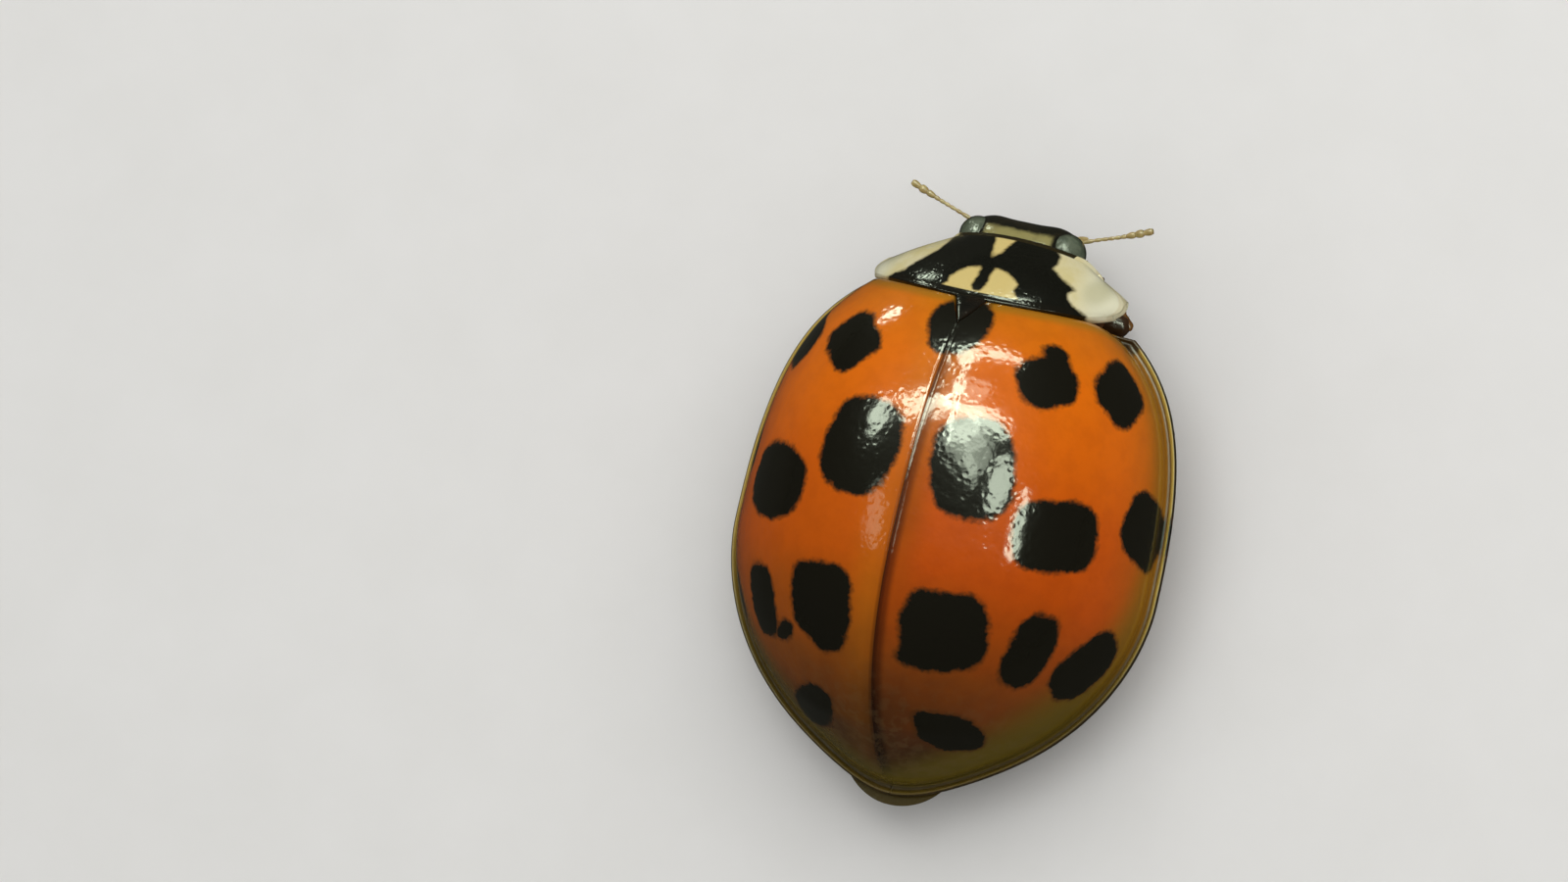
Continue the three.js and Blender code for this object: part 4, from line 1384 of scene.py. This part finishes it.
# %% Feet
FOOT_WIDTH = 0.13
FOOT_JOINTS = ((0.45, 0.085), (0.62, 0.075))  # share of the way to the toe, height of its middle
LOBE_SWELLING = [0.7, 0.95, 1.1, 1.2, 1.25, 1.3, 1.3, 1.3, 1.3, 1.25, 1.2, 1.1, 0.9, 0.6]
CLAW_HOOK = [  # forwards, sideways and up from the toe
    (0.0, 0.02, 0.0),
    (0.06, 0.05, 0.012),
    (0.11, 0.06, -0.02),
    (0.125, 0.055, -0.065),
]
CLAW_WIDTH, CLAW_HEIGHT, TOOTH_WIDTH = 0.04, 0.045, 0.03


def make_foot(ankle, toe):
    """Three foot joints, the middle one lobed, and two hooked claws with a tooth."""
    forward = (toe - ankle) * [1, 1, 0]
    forward /= np.linalg.norm(forward)
    beside = np.array([-forward[1], forward[0], 0])
    ends = [lerp(ankle, toe, share) * [1, 1, 0] + [0, 0, height] for share, height in FOOT_JOINTS]
    first = smooth_path([ankle, lerp(ankle, ends[0], 0.5) + [0, 0, -0.03], ends[0]], 16)
    lobe = smooth_path([ends[0], lerp(*ends, 0.5), ends[1]], 14)
    raised = lerp(ends[1], toe, 0.5) + [0, 0, 0.05]
    last = smooth_path([ends[1] + [0, 0, 0.02], raised, toe], 20)
    swell = FOOT_WIDTH * (0.6 + 0.5 * np.linspace(0, 1, 16))
    lobe_swell = FOOT_WIDTH * np.array(LOBE_SWELLING)
    last_swell = FOOT_WIDTH * (0.45 + 0.3 * np.linspace(0, 1, 20))
    shapes = [
        tube(first, swell, 0.8 * swell, 16),
        tube(lobe, 1.2 * lobe_swell, 0.9 * lobe_swell, 16),
        tube(last, last_swell, last_swell, 14),
    ]
    taper = np.linspace(1, 0.12, 14)
    for sign in (-1, 1):
        path = [toe + forward * a + beside * b * sign + [0, 0, c] for a, b, c in CLAW_HOOK]
        shapes.append(tube(smooth_path(path, 14), CLAW_WIDTH * taper, CLAW_HEIGHT * taper, 10))
        root = toe + forward * 0.05 + beside * 0.045 * sign
        shapes.append(thorn(root, root + forward * 0.03 - [0, 0, 0.05], TOOTH_WIDTH, 8))
    return shapes


# %% Bristles
BRISTLES_PER_SHIN = 60
BRISTLE_LENGTH = 0.07
BRISTLE_WIDTH = 0.008


def bristles(path, seed):
    """Fine bristles that stand out from a shin and lean towards its end."""
    chance = np.random.default_rng(seed)
    ahead = np.gradient(path, axis=0)
    ahead /= np.linalg.norm(ahead, axis=1, keepdims=True)
    shapes = []
    for _ in range(BRISTLES_PER_SHIN):
        place = chance.integers(8, len(path) - 2)
        turn = chance.uniform(0, 2 * np.pi)
        across = np.cross([0, 0, 1], ahead[place])
        across /= np.linalg.norm(across)
        above = np.cross(ahead[place], across)
        outward = across * math.cos(turn) + above * math.sin(turn)
        root = path[place] + outward * SHIN_WIDTH * 0.36
        lean = outward * 0.55 + ahead[place] * 0.8
        tip = root + lean * BRISTLE_LENGTH * chance.uniform(0.7, 1.2)
        shapes.append(thorn(root, tip, BRISTLE_WIDTH, 4))
    return shapes


print("each shin has", BRISTLES_PER_SHIN, "bristles")

# %% Whole legs
THIGH_DARK = 0.75  # how dark hip and thigh are, out of 1
HIP_RING_RADII = (0.15, 0.13, 0.12)
FIRST_SEED = 11


def make_leg(pair, side_name, seed):
    """One whole leg."""
    plan = LEGS[pair]
    mirror = [SIDES[side_name], 1, 1]
    shift = np.array([*plan["shift"][side_name], 0])
    moved = {"hip": 0, "knee": 0.4, "ankle": 1, "toe": 1}  # the share of the shift at each bend
    bends = [(np.array(plan[bend]) + shift * share) * mirror for bend, share in moved.items()]
    hip, knee, ankle, toe = bends
    coxa_at, coxa_radii = plan["coxa"]
    shin, shin_path = make_shin(lerp(knee, ankle, -0.02), ankle)
    upper = [
        egg(np.array(coxa_at) * mirror, coxa_radii, 0, 2.2, 24, 36),
        egg(lerp(hip, knee, 0.06), HIP_RING_RADII, 0, 2, 16, 24),
        make_thigh(lerp(hip, knee, 0.05), knee),
    ]
    shapes = [*upper, shin, *make_foot(ankle, toe), *bristles(shin_path, seed)]
    points, faces = join_shapes(shapes)
    dark = np.zeros(len(points))
    dark[: sum(len(shape[0]) for shape in upper)] = THIGH_DARK
    nodes = [f"{part}_{pair}_{side_name}" for part in ("coxa", "femur", "tibia", "tarsus")]
    name = f"leg_{pair}_{side_name}"
    build_piece(name, points, faces, leg_material, nodes, {"dark": dark})


seed = FIRST_SEED
for pair in LEGS:
    for side_name in SIDES:
        make_leg(pair, side_name, seed)
        seed += 1


# %% [markdown]
# ## Floor, lamps and camera
# The beetle stands on a plain pale floor. The camera looks down on it from behind its right side,
# as the animal is usually seen on a leaf. One broad lamp and the even light of the world show the
# colours, and only matt surfaces see that lamp. The small lamps are there for the wax alone: each
# is stated by where it stands and how many degrees it fills, since that is what its reflection
# shows. Reflections see a dark room behind the lamps, so the black marks stay deep.

# %% Floor
FLOOR_HALF = 0.4  # metres
FLOOR_GRAIN = 0.002  # millimetres that the paint rises and falls


def make_floor():
    """A plain pale board, matt and very slightly uneven, and dark in the beetle's reflections."""
    material = new_material("matt_painted_board")
    grain = cloudy(material, 1.5, detail=3.0)
    inputs = {0: grain, 6: "#E6E5E1", 7: "#EDECE9"}
    colour = add_node(material, "Mix", inputs, data_type="RGBA").outputs[2]
    reflected = add_node(material, "LightPath", {}).outputs["Is Glossy Ray"]
    inputs = {0: reflected, 6: colour, 7: "#3C3C36"}
    colour = add_node(material, "Mix", inputs, data_type="RGBA").outputs[2]
    inputs = {"Height": grain, "Strength": 1.0, "Distance": FLOOR_GRAIN * MM}
    normal = add_node(material, "Bump", inputs).outputs[0]
    matt = {"Roughness": 0.9, "Specular_IOR_Level": 0.04}
    set_surface(material, Base_Color=colour, Normal=normal, **matt)
    corners = [(x * FLOOR_HALF, y * FLOOR_HALF, 0) for x, y in ((-1, -1), (1, -1), (1, 1), (-1, 1))]
    mesh = bpy.data.meshes.new("floor")
    mesh.from_pydata(corners, [], [(0, 1, 2, 3)])
    mesh.materials.append(material)
    board = bpy.data.objects.new("floor", mesh)
    bpy.context.scene.collection.objects.link(board)


make_floor()
print("the floor measures", 2 * FLOOR_HALF, "m each way")

# %% Camera
CAMERA_AZIMUTH = -110.66  # degrees: 0 looks from the head end towards the tail
CAMERA_ELEVATION = 71.96
CAMERA_ROLL = -56.3
CAMERA_DISTANCE = 144.5
CAMERA_LENS = 280.0
AIM_RIGHT = -1.905  # where the view is centred, from the middle of the vault's rim
AIM_UP = 1.439


def direction(azimuth, elevation):
    """The unit vector that points from the animal towards a lamp or a camera."""
    a, e = math.radians(azimuth), math.radians(elevation)
    return Vector((math.sin(a) * math.cos(e), -math.cos(a) * math.cos(e), math.sin(e)))


def make_camera():
    """The camera with its look direction, roll and aim."""
    back = direction(CAMERA_AZIMUTH, CAMERA_ELEVATION)
    level = Vector((0, 0, 1)).cross(back).normalized()
    upright = back.cross(level)
    roll = math.radians(CAMERA_ROLL)
    right = level * math.cos(roll) + upright * math.sin(roll)
    up = back.cross(right)
    aim = Vector(to_frame([0, 0, edge_height(0.0)])) + (right * AIM_RIGHT + up * AIM_UP) * MM
    data = bpy.data.cameras.new("camera")
    data.lens = CAMERA_LENS
    data.clip_start = 0.01
    data.clip_end = 2.0
    camera = bpy.data.objects.new("camera", data)
    bpy.context.scene.collection.objects.link(camera)
    axes = Matrix((right, up, back)).transposed().to_4x4()
    camera.matrix_world = Matrix.Translation(aim + back * CAMERA_DISTANCE * MM) @ axes
    bpy.context.scene.camera = camera


make_camera()
print("the camera stands", CAMERA_DISTANCE, "mm from the animal")

# %% Lamps
LAMP_DISTANCE = 60.0  # millimetres from the middle of the body
LAMP_AIM = 2.0  # and how high over the floor the lamps point
LAMPS = {  # azimuth, elevation, width and height in degrees, strength
    "main": (-16, 68, 34, 16, 5.5),
    "main_near": (0, 63, 17, 12, 8.0),
    "main_core": (-14, 65, 20, 6, 6.0),
    "main_low": (-38, 72, 17, 6, 6.0),
    "crest": (-12, 57, 42, 7, 19.0),
    "ahead": (4, 48, 18, 6, 5.0),
    "streak": (14, 52, 3, 34, 22.0),
    "arm": (1, 30, 30, 3.5, 19.0),
    "arm_end": (13, 34, 7, 8, 19.0),
    "link": (25, 53, 8, 8, 18.0),
    "right": (-70, 56, 14, 14, 13.0),
    "right_edge": (-86, 40, 12, 7, 15.0),
    "left_link": (35, 52, 5, 12, 18.0),
    "left": (53, 48, 14, 11, 15.0),
    "left_haze": (92, 66, 13, 9, 2.2),
    "left_low": (37, 4, 10, 5, 18.0),
}
LAMP_TINT = (0.88, 1.0, 0.78)  # a clearing in leaves: the reflections are faintly green
KEY = (-13, 62, 75, 60, 1.42)  # the broad soft lamp that only matt surfaces see


def make_lamp(name, azimuth, elevation, width, height, strength, matt=False):
    """A soft lamp that fills width by height degrees as seen from the animal."""
    towards = direction(azimuth, elevation)
    data = bpy.data.lights.new("lamp_" + name, "AREA")
    data.color = (1, 1, 1) if matt else LAMP_TINT
    data.shape = "ELLIPSE"
    data.size = 2 * LAMP_DISTANCE * MM * math.tan(math.radians(width / 2))
    data.size_y = 2 * LAMP_DISTANCE * MM * math.tan(math.radians(height / 2))
    data.energy = strength * math.pi**2 / 4 * data.size * data.size_y
    lamp = bpy.data.objects.new("lamp_" + name, data)
    lamp.location = Vector(to_frame([0, 0, LAMP_AIM])) + towards * LAMP_DISTANCE * MM
    lamp.rotation_mode = "QUATERNION"
    lamp.rotation_quaternion = (-towards).to_track_quat("-Z", "Y")
    lamp.visible_diffuse = matt
    lamp.visible_glossy = not matt
    bpy.context.scene.collection.objects.link(lamp)


for lamp_name, lamp_values in LAMPS.items():
    make_lamp(lamp_name, *lamp_values)
make_lamp("key", *KEY, matt=True)
print("lamps:", ", ".join(LAMPS), "and the key")

# %% World
WORLD_STRENGTH = 0.52
WORLD_GLOSS_STRENGTH = 0.025


def make_world():
    """Even white light for matt surfaces, and a darker room in the reflections."""
    world = bpy.data.worlds.new("studio")
    world.use_nodes = True
    world.node_tree.nodes.clear()
    reflected = add_node(world, "LightPath", {}).outputs["Is Glossy Ray"]
    inputs = {0: reflected, 3: WORLD_STRENGTH, 4: WORLD_GLOSS_STRENGTH}
    strength = add_node(world, "MapRange", inputs).outputs[0]
    background = add_node(world, "Background", {"Color": "#FFFFFF", "Strength": strength})
    add_node(world, "OutputWorld", {"Surface": background.outputs[0]})
    return world


bpy.context.scene.world = make_world()
bpy.context.scene.view_settings.view_transform = "Standard"
print("the world's light is", WORLD_STRENGTH, "and", WORLD_GLOSS_STRENGTH, "in reflections")
